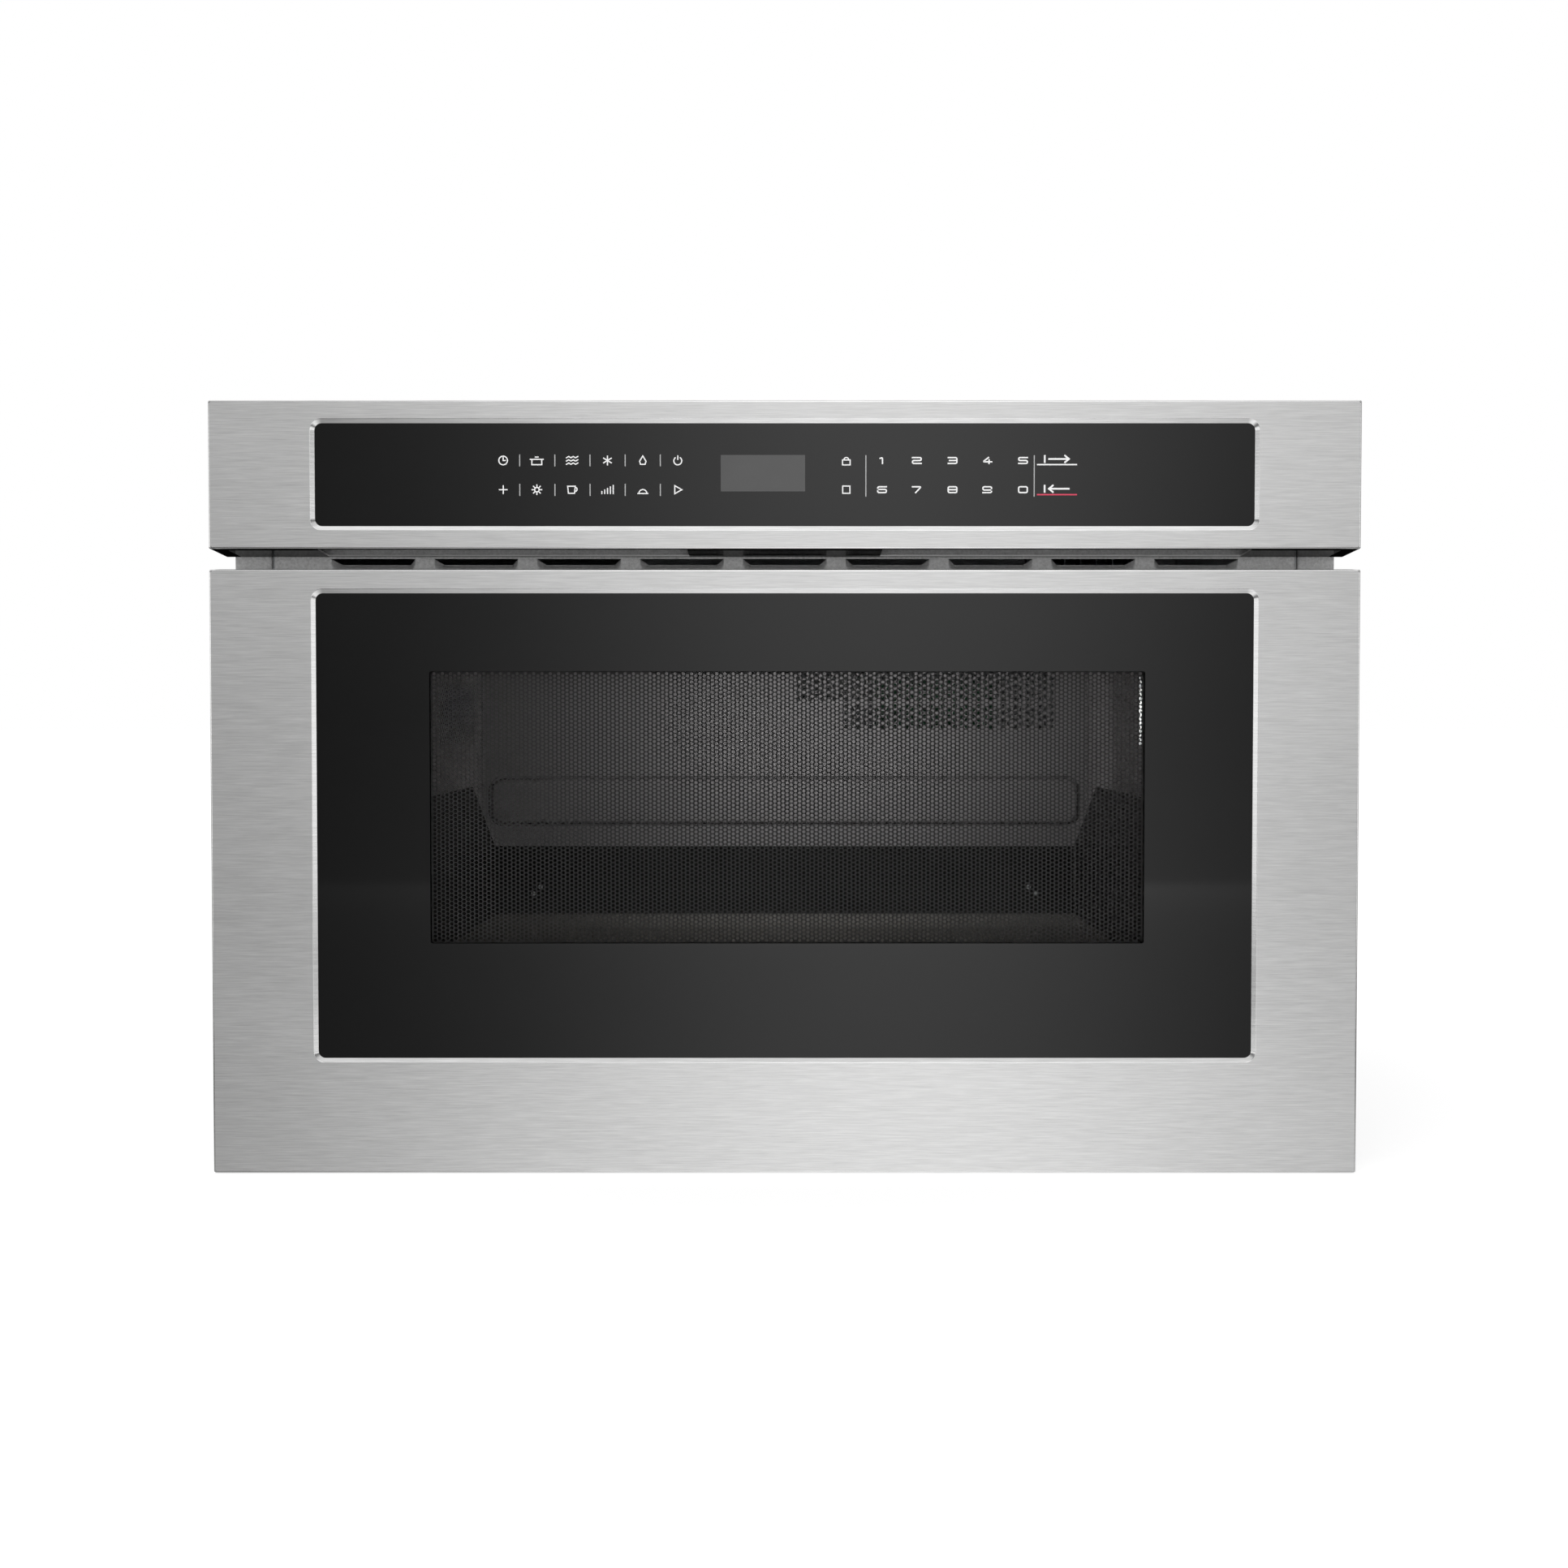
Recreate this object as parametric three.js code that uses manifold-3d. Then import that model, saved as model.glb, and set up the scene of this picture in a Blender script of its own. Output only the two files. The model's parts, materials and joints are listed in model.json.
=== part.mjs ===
// Built-in microwave drawer: a fixed steel body with a control panel, and a motor-driven drawer
// on telescopic slides. Millimetres, +Z up, the front faces -Y. Inside the root group, y is the
// depth behind the front plane and z the height above the drawer front's lower edge.
import * as THREE from "three";
import { mergeVertices } from "three/addons/utils/BufferGeometryUtils.js";
import Module from "manifold-3d";

const wasm = await Module();
wasm.setup();

// ---- driving dimensions ----
const frontWidth = 606.4;
const frontHeight = 408.3;
const overallDepth = 590;
const panelHeight = 78;          // control panel
const airGap = 10.7;             // between the panel and the drawer front
const frontDepth = 36;           // from the front plane to the flange plane
const bodyWidth = 556;
const bodyHeight = 374;
const bodyBottom = 10;           // the drawer front hangs this far below the body
const flangeWidth = 596;         // over both mounting ears

const caseSheet = 1;
const flangeSheet = 1.2;
const cavitySheet = 0.8;
const fasciaSheet = 0.8;
const bendRadius = 1.5;
const seat = 0.3;                // gap between pieces that rest on each other
const runningGap = 0.4;          // gap round what slides or turns

const glassThickness = 4;
const glassSideMargin = 55.8;    // from the fascia's side to the visible glass
const panelGlassMargin = 12;
const doorGlassTop = 12.5;
const doorGlassBottom = 61;
const lipWidth = 2.2;            // formed edge round each glass
const lipDepth = 1.6;
const glassCorner = 3.8;
const glassOverlap = 8;          // hidden edge of the glass behind the lip

const windowWidth = 378;
const windowHeight = 144;
const windowBottom = 122;

const cavityWidth = 460;
const cavityBack = 513;
const cavityFloor = 86;
const cavityCeiling = 290;
const embossMargin = 6.5;        // from the embossed panel's end to the cavity wall
const embossHeight = 33.5;
const embossBottom = 160;
const embossDepth = 3;

const drawerSideGap = 13.3;      // between the drawer's walls and the cavity's
const drawerWallTop = 193;
const drawerRearTop = 145;
const drawerRear = 470;
const wallShoulder = 370;        // where the side walls start to slant down
const drawerSheet = 1.2;
const trayThickness = 5;
const travel = 380;

const louvreCount = 9;
const louvrePitch = 55.8;
const louvreWidth = 45.5;
const louvreHeight = 12;
const louvreDepth = 5;
const louvreDrop = 3;            // how far the pressed edge sinks below the slit
const louvreSlit = 327.6;
const louvreRound = 9;           // most that the louvre's lower corners are rounded

const slideHeight = 45.6;
const slideThickness = 12;
const slideLength = 420;
const slideSheet = 1.2;
const slideLift = 2.9;           // under the slides, over the case's bottom flange

const gearModule = 2;
const pinionTeeth = 16;
const pinionFace = 14;
const pinionDepth = 90;          // pinion axis behind the front plane
const rackPitchLine = 53;
const rackWidth = 12;
const backlash = 0.3;

const wellRadius = 95;
const wellHeight = 22;
const wellDepth = 262;           // stirrer axis behind the front plane
const stirrerRadius = 80;
const waveguideWidth = 90;
const waveguideHeight = 40;

const fanRadius = 35;
const fanBladeCount = 7;
const fanDepth = 352;
const fanOffset = 205;
const fanFrame = 84;
const bladeThickness = 1.6;

// ---- places worked out from them ----
const halfFront = frontWidth / 2;
const halfBody = bodyWidth / 2;
const halfCavity = cavityWidth / 2;
const halfDrawer = halfCavity - drawerSideGap - drawerSheet;
const doorTop = frontHeight - panelHeight - airGap;
const panelBottom = doorTop + airGap;
const bodyTop = bodyBottom + bodyHeight;
const flangeFace = frontDepth;
const flangeBack = flangeFace + flangeSheet;
const doorBack = frontDepth - 0.5;
const caseFront = flangeBack + seat;
const caseInner = halfBody - caseSheet;
const glassFront = lipDepth + seat;
const glassBack = glassFront + glassThickness;
const pinionRadius = gearModule * pinionTeeth / 2;
const pinionCentre = rackPitchLine - pinionRadius;
const rackAddendum = 0.8 * gearModule;
const rackDedendum = 1.25 * gearModule;
const wellTop = cavityCeiling + cavitySheet + wellHeight;
const stripBottom = doorTop - 8;
const caseFloorTop = bodyBottom + caseSheet;
const slideCentre = caseFloorTop + seat + caseSheet + slideLift + slideHeight / 2;

// ---- materials ----
const finish = (color, roughness, metalness) => ({ color, roughness, metalness });
const brushedSteel = finish(0xc9c9c7, 0.35, 1);
const galvanised = finish(0xa9adb0, 0.5, 0.9);
const greyPaint = finish(0x8b8b89, 0.75, 0.1);
const cavityPaint = finish(0x6e6a68, 0.55, 0.1);
const darkEnamel = finish(0x2b2a2a, 0.55, 0.1);
const blackGlass = finish(0x1b1b1c, 0.1, 0);
const clearGlass = finish(0x9fb0b0, 0.08, 0);
const blackPlastic = finish(0x1c1c1d, 0.6, 0);
const whitePlastic = finish(0xe6e3da, 0.55, 0);
const darkSteel = finish(0x4a4a4b, 0.5, 0.8);
const boardGreen = finish(0x1e5a38, 0.6, 0);
const glassCeramic = finish(0xb8b4ac, 0.25, 0);
const copperRed = finish(0x9a4f2c, 0.5, 0.6);
const aluminium = finish(0xc4c6c8, 0.4, 0.9);
const mica = finish(0xc9bfa8, 0.7, 0);
const warmLamp = finish(0xffe9b8, 0.2, 0);
const displayGrey = finish(0x585858, 0.3, 0);

// ---- solids ----
function toSolid(geometry) {
  const bare = geometry.clone();
  bare.deleteAttribute("normal");
  bare.deleteAttribute("uv");
  const merged = mergeVertices(bare, 1e-4);
  const vertProperties = new Float32Array(merged.attributes.position.array);
  const triVerts = new Uint32Array(turnedOut(vertProperties, wholeTriangles(merged.index.array)));
  return new wasm.Manifold(new wasm.Mesh({ numProp: 3, vertProperties, triVerts }));
}

// triangles whose three corners are still apart after merging
function wholeTriangles(index) {
  const kept = [];
  for (let i = 0; i < index.length; i += 3) {
    const [a, b, c] = index.slice(i, i + 3);
    if (a !== b && b !== c && c !== a) kept.push(a, b, c);
  }
  return kept;
}

// the same triangles, turned so that the volume they enclose is positive
function turnedOut(positions, index) {
  const at = (i) => new THREE.Vector3().fromArray(positions, 3 * i);
  let volume = 0;
  for (let i = 0; i < index.length; i += 3) {
    volume += at(index[i]).dot(at(index[i + 1]).cross(at(index[i + 2])));
  }
  return volume > 0 ? index : index.toReversed();
}

function toGeometry(solid) {
  const mesh = solid.getMesh();
  const geometry = new THREE.BufferGeometry();
  geometry.setAttribute("position", new THREE.BufferAttribute(new Float32Array(mesh.vertProperties), 3));
  geometry.setIndex(new THREE.BufferAttribute(new Uint32Array(mesh.triVerts), 1));
  geometry.computeVertexNormals();
  return geometry;
}

const join = (...solids) => solids.flat().reduce((sum, one) => sum.add(one));
const cut = (solid, ...cutters) => cutters.flat().reduce((rest, one) => rest.subtract(one), solid);

// a box from its limits along x, y and z
function box([x0, x1], [y0, y1], [z0, z1]) {
  const geometry = new THREE.BoxGeometry(x1 - x0, y1 - y0, z1 - z0);
  geometry.translate((x0 + x1) / 2, (y0 + y1) / 2, (z0 + z1) / 2);
  return toSolid(geometry);
}

const planes = {                 // [across, up, extruded] axes of a drawn outline
  z: new THREE.Matrix4(),
  x: new THREE.Matrix4().set(0, 0, 1, 0, 1, 0, 0, 0, 0, 1, 0, 0, 0, 0, 0, 1),
  y: new THREE.Matrix4().set(1, 0, 0, 0, 0, 0, -1, 0, 0, 1, 0, 0, 0, 0, 0, 1),
};

// an outline of [a, b] points extruded along one axis: (y, z) along x, (x, z) along y, (x, y) along z
function prism(axis, points, from, to, holes = []) {
  const shape = new THREE.Shape(points.map(([a, b]) => new THREE.Vector2(a, b)));
  shape.holes = holes.map((hole) => new THREE.Path(hole.map(([a, b]) => new THREE.Vector2(a, b))));
  const geometry = new THREE.ExtrudeGeometry(shape, { depth: to - from, bevelEnabled: false });
  geometry.translate(0, 0, axis === "y" ? -to : from);
  geometry.applyMatrix4(planes[axis]);
  return toSolid(geometry);
}

function arcPoints(cx, cy, radius, from, to, steps) {
  return Array.from({ length: steps + 1 }, (_, i) => {
    const angle = from + (to - from) * i / steps;
    return [cx + radius * Math.cos(angle), cy + radius * Math.sin(angle)];
  });
}

function roundedRect([x0, x1], [z0, z1], radius, steps = 3) {
  const quarter = Math.PI / 2;
  return [
    ...arcPoints(x1 - radius, z0 + radius, radius, -quarter, 0, steps),
    ...arcPoints(x1 - radius, z1 - radius, radius, 0, quarter, steps),
    ...arcPoints(x0 + radius, z1 - radius, radius, quarter, 2 * quarter, steps),
    ...arcPoints(x0 + radius, z0 + radius, radius, 2 * quarter, 3 * quarter, steps),
  ];
}

const disc = (cx, cy, radius, steps = 24) => arcPoints(cx, cy, radius, 0, 2 * Math.PI, steps).slice(0, -1);

const cylinder = (axis, cx, cy, radius, from, to, steps = 24) =>
  prism(axis, disc(cx, cy, radius, steps), from, to);

// a skin over loops of (x, z) points, each at its own depth y; closed ends unless it is a ring
function loft(loops, ring = false) {
  const count = loops[0].points.length;
  const positions = loops.flatMap(({ y, points }) => points.flatMap(([x, z]) => [x, y, z]));
  const index = [];
  const last = ring ? loops.length : loops.length - 1;
  for (let i = 0; i < last; i++) {
    const near = i * count;
    const far = ((i + 1) % loops.length) * count;
    for (let j = 0; j < count; j++) {
      const next = (j + 1) % count;
      index.push(near + j, near + next, far + next, near + j, far + next, far + j);
    }
  }
  if (!ring) {
    const end = (loops.length - 1) * count;
    for (let j = 1; j < count - 1; j++) {
      index.push(0, j + 1, j, end, end + j, end + j + 1);
    }
  }
  const geometry = new THREE.BufferGeometry();
  geometry.setAttribute("position", new THREE.Float32BufferAttribute(positions, 3));
  geometry.setIndex(index);
  return toSolid(geometry);
}

// ---- the scene graph ----
const group = new THREE.Group();
group.position.y = -overallDepth / 2;
group.name = "microwave_drawer";

function place(name, solid, look, parent = group) {
  const mesh = new THREE.Mesh(toGeometry(solid), new THREE.MeshStandardMaterial(look));
  mesh.name = name;
  parent.add(mesh);
  return mesh;
}

const sides = { left: -1, right: 1 };
const span = (side, a, b) => (side > 0 ? [a, b] : [-b, -a]);   // x limits on either side

// a closed (radius, height) profile turned about a vertical axis
function revolve(profile, cx, cy, steps = 24) {
  const closed = [...profile, profile[0]];
  const geometry = new THREE.LatheGeometry(closed.map(([r, h]) => new THREE.Vector2(r, h)), steps);
  geometry.rotateX(Math.PI / 2);
  geometry.translate(cx, cy, 0);
  return toSolid(geometry);
}

function moved(solid, matrix) {
  return toSolid(toGeometry(solid).applyMatrix4(matrix));
}

// outlines of small holes in staggered rows over an area
function holeField([u0, u1], [v0, v1], pitch, radius) {
  const rows = Math.floor((v1 - v0) / pitch);
  const holes = [];
  for (let row = 0; row <= rows; row++) {
    const shift = row % 2 ? pitch / 2 : 0;
    for (let u = u0 + shift; u <= u1; u += pitch) {
      holes.push(disc(u, v0 + row * pitch, radius, 4));
    }
  }
  return holes;
}

// ---- formed sheet-metal fronts ----
// a pan open to the back with bent edges; its floor may fall towards the back
function pan([x0, x1], [z0, z1], depth, floorDrop = 0) {
  const steps = 3;
  const shell = (inset, bend, from, to) => {
    const loops = Array.from({ length: steps + 1 }, (_, i) => {
      const angle = Math.PI / 2 * i / steps;
      return { edge: inset + bend * (1 - Math.sin(angle)), y: from + bend * (1 - Math.cos(angle)) };
    });
    loops.push({ edge: inset, y: to });
    return loft(loops.map(({ edge, y }) => {
      const drop = floorDrop * Math.max(0, y - bendRadius) / depth;
      return { y, points: roundedRect([x0 + edge, x1 - edge], [z0 + edge - drop, z1 - edge], bendRadius, 2) };
    }));
  };
  const outside = shell(0, bendRadius, 0, depth);
  const inside = shell(fasciaSheet, bendRadius - fasciaSheet, fasciaSheet, depth + 1);
  return cut(outside, inside);
}

// shares of lipWidth and lipDepth: a rounded shoulder, then a straight slope down to the glass
const lipProfile = [[1, 0], [0.85, 0.06], [0.7, 0.24], [0, 1]];

// a pan with a glass opening, whose edge slopes in to lipDepth
function fascia(xs, zs, depth, glassX, glassZ, floorDrop) {
  const outline = (edge) => roundedRect(grown(glassX, edge), grown(glassZ, edge), glassCorner + edge, 4);
  const face = lipProfile.map(([wide, deep]) => ({ edge: lipWidth * wide, y: lipDepth * deep }));
  const rear = [
    { edge: fasciaSheet, y: lipDepth },
    { edge: lipWidth, y: fasciaSheet },
    { edge: lipWidth + 1, y: fasciaSheet },
    { edge: lipWidth + 1, y: 0 },
  ];
  const lip = loft([...face, ...rear].map(({ edge, y }) => ({ y, points: outline(edge) })), true);
  const opening = prism("y", outline(lipWidth), -1, lipDepth + 1);
  return join(cut(pan(xs, zs, depth, floorDrop), opening), lip);
}

const grown = ([a, b], by) => [a - by, b + by];
const around = (middle, half) => [middle - half, middle + half];
const across = (half) => [-half, half];

// ---- control panel ----
const panelDepth = frontDepth - seat;
const panelFloorDrop = 1.8;
const panelGlassX = across(halfFront - glassSideMargin);
const panelGlassZ = [panelBottom + panelGlassMargin, frontHeight - panelGlassMargin];
const inletHalfBridge = 51.5;    // solid middle between the two openings underneath
const inletEnd = 246.5;
const inletLip = 3.5;

const displayWindow = { x: [-33.7, 10.7], z: [360.6, 379.7] };
const housingWall = 2;
const housingGap = 0.6;          // round the housing, inside the fascia's bent edges
const housingX = across(halfFront - fasciaSheet - housingGap);
const housingZ = [panelBottom + 5.7, frontHeight - fasciaSheet - housingGap];
const boardSheet = 1.6;
const controlBoardDepth = 18;

function controlPanel() {
  const body = fascia(
    across(halfFront), [panelBottom, frontHeight], panelDepth, panelGlassX, panelGlassZ, panelFloorDrop,
  );
  const inlets = Object.values(sides).map((side) => box(
    span(side, inletHalfBridge, inletEnd),
    [inletLip, panelDepth - inletLip],
    [panelBottom - panelFloorDrop - 2, panelBottom + 2],
  ));
  place("control_fascia", cut(body, inlets), brushedSteel);

  const glassX = grown(panelGlassX, glassOverlap);
  const glassZ = grown(panelGlassZ, glassOverlap);
  const glass = roundedRect(glassX, glassZ, glassCorner);
  place("control_glass", prism("y", glass, glassFront, glassBack), blackGlass);

  const boardFront = glassBack + seat;
  const displayHole = roundedRect(grown(displayWindow.x, 2), grown(displayWindow.z, 2), 1, 1);
  const touchZ = grown(panelGlassZ, -4);
  const touchPlan = roundedRect(across(205), touchZ, 3, 1);
  const touch = prism("y", touchPlan, boardFront, boardFront + boardSheet, [displayHole]);
  place("touch_board", touch, boardGreen);

  const display = join(
    box(displayWindow.x, [boardFront, controlBoardDepth - 3], displayWindow.z),
    box(grown(displayWindow.x, -4), [boardFront + 2, controlBoardDepth - seat], grown(displayWindow.z, -4)),
  );
  place("display_module", display, displayGrey);

  const boardBack = controlBoardDepth + boardSheet;
  const middle = (panelGlassZ[0] + panelGlassZ[1]) / 2;
  const relays = [-95, -60, 60, 95].map(
    (x) => box(around(x, 9), [boardBack - 0.5, boardBack + 9], around(middle, 8)),
  );
  const buzzer = cylinder("y", 140, middle, 7, boardBack - 0.5, boardBack + 7, 16);
  const board = join(box(across(165), [controlBoardDepth, boardBack], touchZ), relays, buzzer);
  place("control_board", board, boardGreen);

  const housingBack = panelDepth - seat;
  const hollowY = [boardFront - 1, housingBack - housingWall];
  const shell = cut(
    box(housingX, [boardFront, housingBack], housingZ),
    box(grown(housingX, -housingWall), hollowY, grown(housingZ, -housingWall)),
  );
  const postX = [-156, 156];
  const posts = postX.map((x) => cylinder("y", x, middle, 4, boardBack + seat, housingBack - 1, 12));
  place("control_housing", join(shell, posts), blackPlastic);
}

// ---- flange behind the drawer front ----
// one pressed louvre: a D outline that shrinks with depth and whose upper edge sinks
function louvreForm(centre, grow, lift, from) {
  const levels = [0, 0.5, 0.8, 1].map((share) => ({
    y: flangeFace + share * louvreDepth,
    half: louvreWidth / 2 - 6 * share ** 2,
    low: louvreSlit - louvreHeight * (1 - 0.6 * share ** 2) - grow,
    edge: louvreSlit - louvreDrop * share,
  }));
  if (from !== undefined) levels.unshift({ ...levels[0], y: from });
  return loft(levels.map(({ y, half, low, edge }) => {
    const top = edge + lift;
    const corner = 0.9 * Math.min(edge - low, louvreRound);
    const x = [centre - half - grow, centre + half + grow];
    return {
      y: y + grow,
      points: [
        ...arcPoints(x[0] + corner, low + corner, corner, Math.PI, 1.5 * Math.PI, 3),
        ...arcPoints(x[1] - corner, low + corner, corner, -Math.PI / 2, 0, 3),
        [x[1], top],
        [x[0], top],
      ],
    };
  }));
}

function louvreStrip() {
  const plate = box(across(halfBody - seat), [flangeFace, flangeBack], [stripBottom, bodyTop]);
  const centres = Array.from({ length: louvreCount }, (_, i) => (i - (louvreCount - 1) / 2) * louvrePitch);
  const scoops = centres.map((x) => cut(
    louvreForm(x, flangeSheet, 0),
    louvreForm(x, 0, 2 * louvreDrop, flangeFace - 1),
  ));
  const slits = centres.map((x) => louvreForm(x, 0, 0, flangeFace - 1));
  return join(cut(plate, slits), scoops);
}

const slideWall = caseInner - seat;                 // the slides' outer members stand against this
const slideOut = slideThickness + 3;                // width of the passage for each slide
const notchZ = around(slideCentre, slideHeight / 2 + 2);
const hookX = [264, 272];
const hookZ = [188, 216];
const rackTop = rackPitchLine + 9;
const rackSlotX = across(rackWidth / 2 + 6);
const rackSlotZ = [rackPitchLine - 8, rackTop + 6];

function frontFrame() {
  const plate = box(across(halfBody - seat), [flangeFace, flangeBack], [bodyBottom, stripBottom - seat]);
  const through = [flangeFace - 1, flangeBack + 1];
  const mouth = prism("y", roundedRect(across(halfCavity), [cavityFloor, cavityCeiling], 4), ...through);
  const passages = Object.values(sides).flatMap((side) => [
    box(span(side, slideWall - slideOut, halfBody + 1), through, notchZ),
    box(span(side, hookX[0] - 1.5, hookX[1] + 1.5), through, grown(hookZ, 3)),
  ]);
  place("front_frame", cut(plate, mouth, passages, box(rackSlotX, through, rackSlotZ)), greyPaint);
  place("louvre_strip", louvreStrip(), greyPaint);

  const earLeg = 22;
  const earHoleRadius = 2.6;
  const earHoles = [40, 140, 240, 340];
  for (const [name, side] of Object.entries(sides)) {
    const inner = halfBody + seat;
    const outer = inner + flangeSheet;
    const outline = [
      [inner, flangeFace], [flangeWidth / 2, flangeFace], [flangeWidth / 2, flangeBack],
      [outer, flangeBack], [outer, flangeFace + earLeg], [inner, flangeFace + earLeg],
    ].map(([x, y]) => [side * x, y]);
    const ear = prism("z", outline, bodyBottom, bodyTop);
    const holes = earHoles.map((z) => cylinder("y", side * (halfBody + 12), z, earHoleRadius, ...through, 8));
    place(`mounting_ear_${name}`, cut(ear, holes), greyPaint);
  }
}

// ---- case ----
const screwRoom = 2.2;           // for the heads of the rear sheet's screws, inside the overall depth
const caseBack = overallDepth - screwRoom;
const caseRear = caseBack - caseSheet - seat;
const caseFlange = 13;
const glandX = 225;
const glandZ = 60;
const glandRadius = 9;

function caseShells() {
  const sideZ = [caseFloorTop + seat, bodyTop - caseSheet - seat];
  for (const [name, side] of Object.entries(sides)) {
    const channel = [
      [halfBody, sideZ[0]], [halfBody, sideZ[1]], [halfBody - caseFlange, sideZ[1]],
      [halfBody - caseFlange, sideZ[1] - caseSheet], [caseInner, sideZ[1] - caseSheet],
      [caseInner, sideZ[0] + caseSheet], [halfBody - caseFlange, sideZ[0] + caseSheet],
      [halfBody - caseFlange, sideZ[0]],
    ].map(([x, z]) => [side * x, z]);
    place(`case_${name}`, prism("y", channel, caseFront, caseRear), galvanised);
  }
  const slots = Array.from({ length: 8 }, (_, i) => {
    const x = -105 + 30 * i;
    return roundedRect([x - 10, x + 10], [caseRear - 60, caseRear - 52], 3, 1);
  });
  const topPlan = rectangle(across(halfBody), [caseFront, caseRear]);
  place("case_top", prism("z", topPlan, bodyTop - caseSheet, bodyTop, slots), galvanised);
  place("case_bottom", caseFloor(), galvanised);

  const vents = [100, 130, 160].flatMap((z) => [-60, -20, 20, 60].map(
    (x) => roundedRect(around(x, 15), around(z, 4), 3, 1),
  ));
  const gland = disc(glandX, glandZ, glandRadius, 16);
  const backPlan = rectangle(across(halfBody), [bodyBottom, bodyTop]);
  place("case_back", prism("y", backPlan, caseBack - caseSheet, caseBack, [...vents, gland]), galvanised);
  const inlet = join(
    cylinder("y", glandX, glandZ, glandRadius + 5, caseRear - 8, caseRear, 20),
    cylinder("y", glandX, glandZ, glandRadius - runningGap, caseRear - 1, overallDepth, 16),
  );
  const bore = cylinder("y", glandX, glandZ, 5, caseRear - 9, overallDepth + 1, 12);
  place("power_inlet", cut(inlet, bore), blackPlastic);
}

const rectangle = ([u0, u1], [v0, v1]) => [[u0, v0], [u1, v0], [u1, v1], [u0, v1]];

// the floor sheet with two stiffening beads pressed up along its depth
function caseFloor() {
  const beadDepth = 3;
  const sheet = box(across(halfBody), [caseFront, caseRear], [bodyBottom, caseFloorTop]);
  return [-130, 130].reduce((rest, x) => {
    const bead = (inset, from, to) => prism(
      "z", roundedRect(grown([x, x], 12 - inset), [150 + inset, 490 - inset], 11 - inset, 3), from, to,
    );
    const raised = cut(
      bead(0, bodyBottom, caseFloorTop + beadDepth),
      bead(caseSheet, bodyBottom - 1, bodyBottom + beadDepth),
    );
    return join(cut(rest, bead(0.5, bodyBottom - 1, caseFloorTop + 1)), raised);
  }, sheet);
}

// ---- cavity ----
const cavityFront = caseFront;
const wallZ = [cavityFloor + seat, cavityCeiling - seat];
const lampDepth = 250;
const lampZ = 245;

function cavity() {
  const plan = rectangle(across(halfCavity + cavitySheet), [cavityFront, cavityBack + cavitySheet]);
  place("cavity_floor", prism("z", plan, cavityFloor - cavitySheet, cavityFloor), cavityPaint);

  const wellFoot = wellRadius + 14;
  const shoulder = 4;
  const ceilingSheet = prism(
    "z", plan, cavityCeiling, cavityCeiling + cavitySheet, [disc(0, wellDepth, wellFoot - 2)],
  );
  const well = revolve([
    [feedRadius, wellTop - cavitySheet], [feedRadius, wellTop], [wellRadius - shoulder, wellTop],
    [wellRadius, wellTop - shoulder], [wellRadius + 3, cavityCeiling + cavitySheet],
    [wellFoot, cavityCeiling + cavitySheet], [wellFoot, cavityCeiling], [wellRadius + 2.2, cavityCeiling],
    [wellRadius - cavitySheet, wellTop - shoulder - 0.4],
    [wellRadius - shoulder - 0.4, wellTop - cavitySheet],
  ], 0, wellDepth);
  place("cavity_ceiling", join(ceilingSheet, well), cavityPaint);

  const wallY = [cavityFront, cavityBack - seat];
  const leftVents = holeField([308, 468], [cavityCeiling - 66, cavityCeiling - 26], 16, 4.6);
  const slot = rectangle([262, 270], [cavityCeiling - 73, cavityCeiling - 56]);
  const leftWall = prism(
    "x", rectangle(wallY, wallZ), -halfCavity - cavitySheet, -halfCavity, [...leftVents, slot],
  );
  place("cavity_left", leftWall, cavityPaint);
  const lampHoles = holeField(around(lampDepth, 14), around(lampZ, 20), 9, 3);
  const rightWall = prism("x", rectangle(wallY, wallZ), halfCavity, halfCavity + cavitySheet, lampHoles);
  place("cavity_right", rightWall, cavityPaint);
  place("cavity_back", cavityRear(), cavityPaint);

  const supportX = across(halfCavity - 30);
  const supportY = [cavityBack - 18, cavityBack - 2];
  const supportZ = [caseFloorTop + seat, cavityFloor - cavitySheet - seat];
  const support = cut(
    box(supportX, supportY, supportZ),
    box(grown(supportX, 1), [supportY[0] + caseSheet, supportY[1] + 1], grown(supportZ, -caseSheet)),
  );
  place("cavity_support", support, galvanised);
}

// the rear sheet: a long panel embossed towards the drawer, and two fields of vent holes
function cavityRear() {
  const ventEnd = halfCavity - 30;
  const upper = holeField([14, ventEnd], [cavityCeiling - 33, cavityCeiling - 13], 15.5, 4.4);
  const lower = holeField([54, ventEnd], [cavityCeiling - 55, cavityCeiling - 47], 15.5, 4.4);
  const embossX = across(halfCavity - embossMargin);
  const embossZ = [embossBottom, embossBottom + embossHeight];
  const panel = (inset) => roundedRect(grown(embossX, -inset), grown(embossZ, -inset), 9 - inset, 4);
  const sheet = prism(
    "y", rectangle(across(halfCavity - seat), wallZ), cavityBack, cavityBack + cavitySheet,
    [...upper, ...lower, panel(0.5)],
  );
  const dish = (inset, from, to) => loft([
    { y: from, points: panel(inset + embossDepth * 0.8) },
    { y: from + embossDepth, points: panel(inset) },
    { y: to, points: panel(inset) },
  ]);
  const front = cavityBack - embossDepth;
  const rear = cavityBack + cavitySheet;
  return join(sheet, cut(dish(0, front, rear), dish(cavitySheet, front + cavitySheet, rear + 1)));
}

// ---- microwave feed ----
const feedRadius = 32;           // opening between the waveguide and the stirrer well
const guideBottom = wellTop + seat;
const guideTop = guideBottom + waveguideHeight;
const guideEnd = 150;
const guideSheet = 1;
const shaftRadius = 3;
const coverThickness = 2.5;
const antennaRadius = 8;

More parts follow.
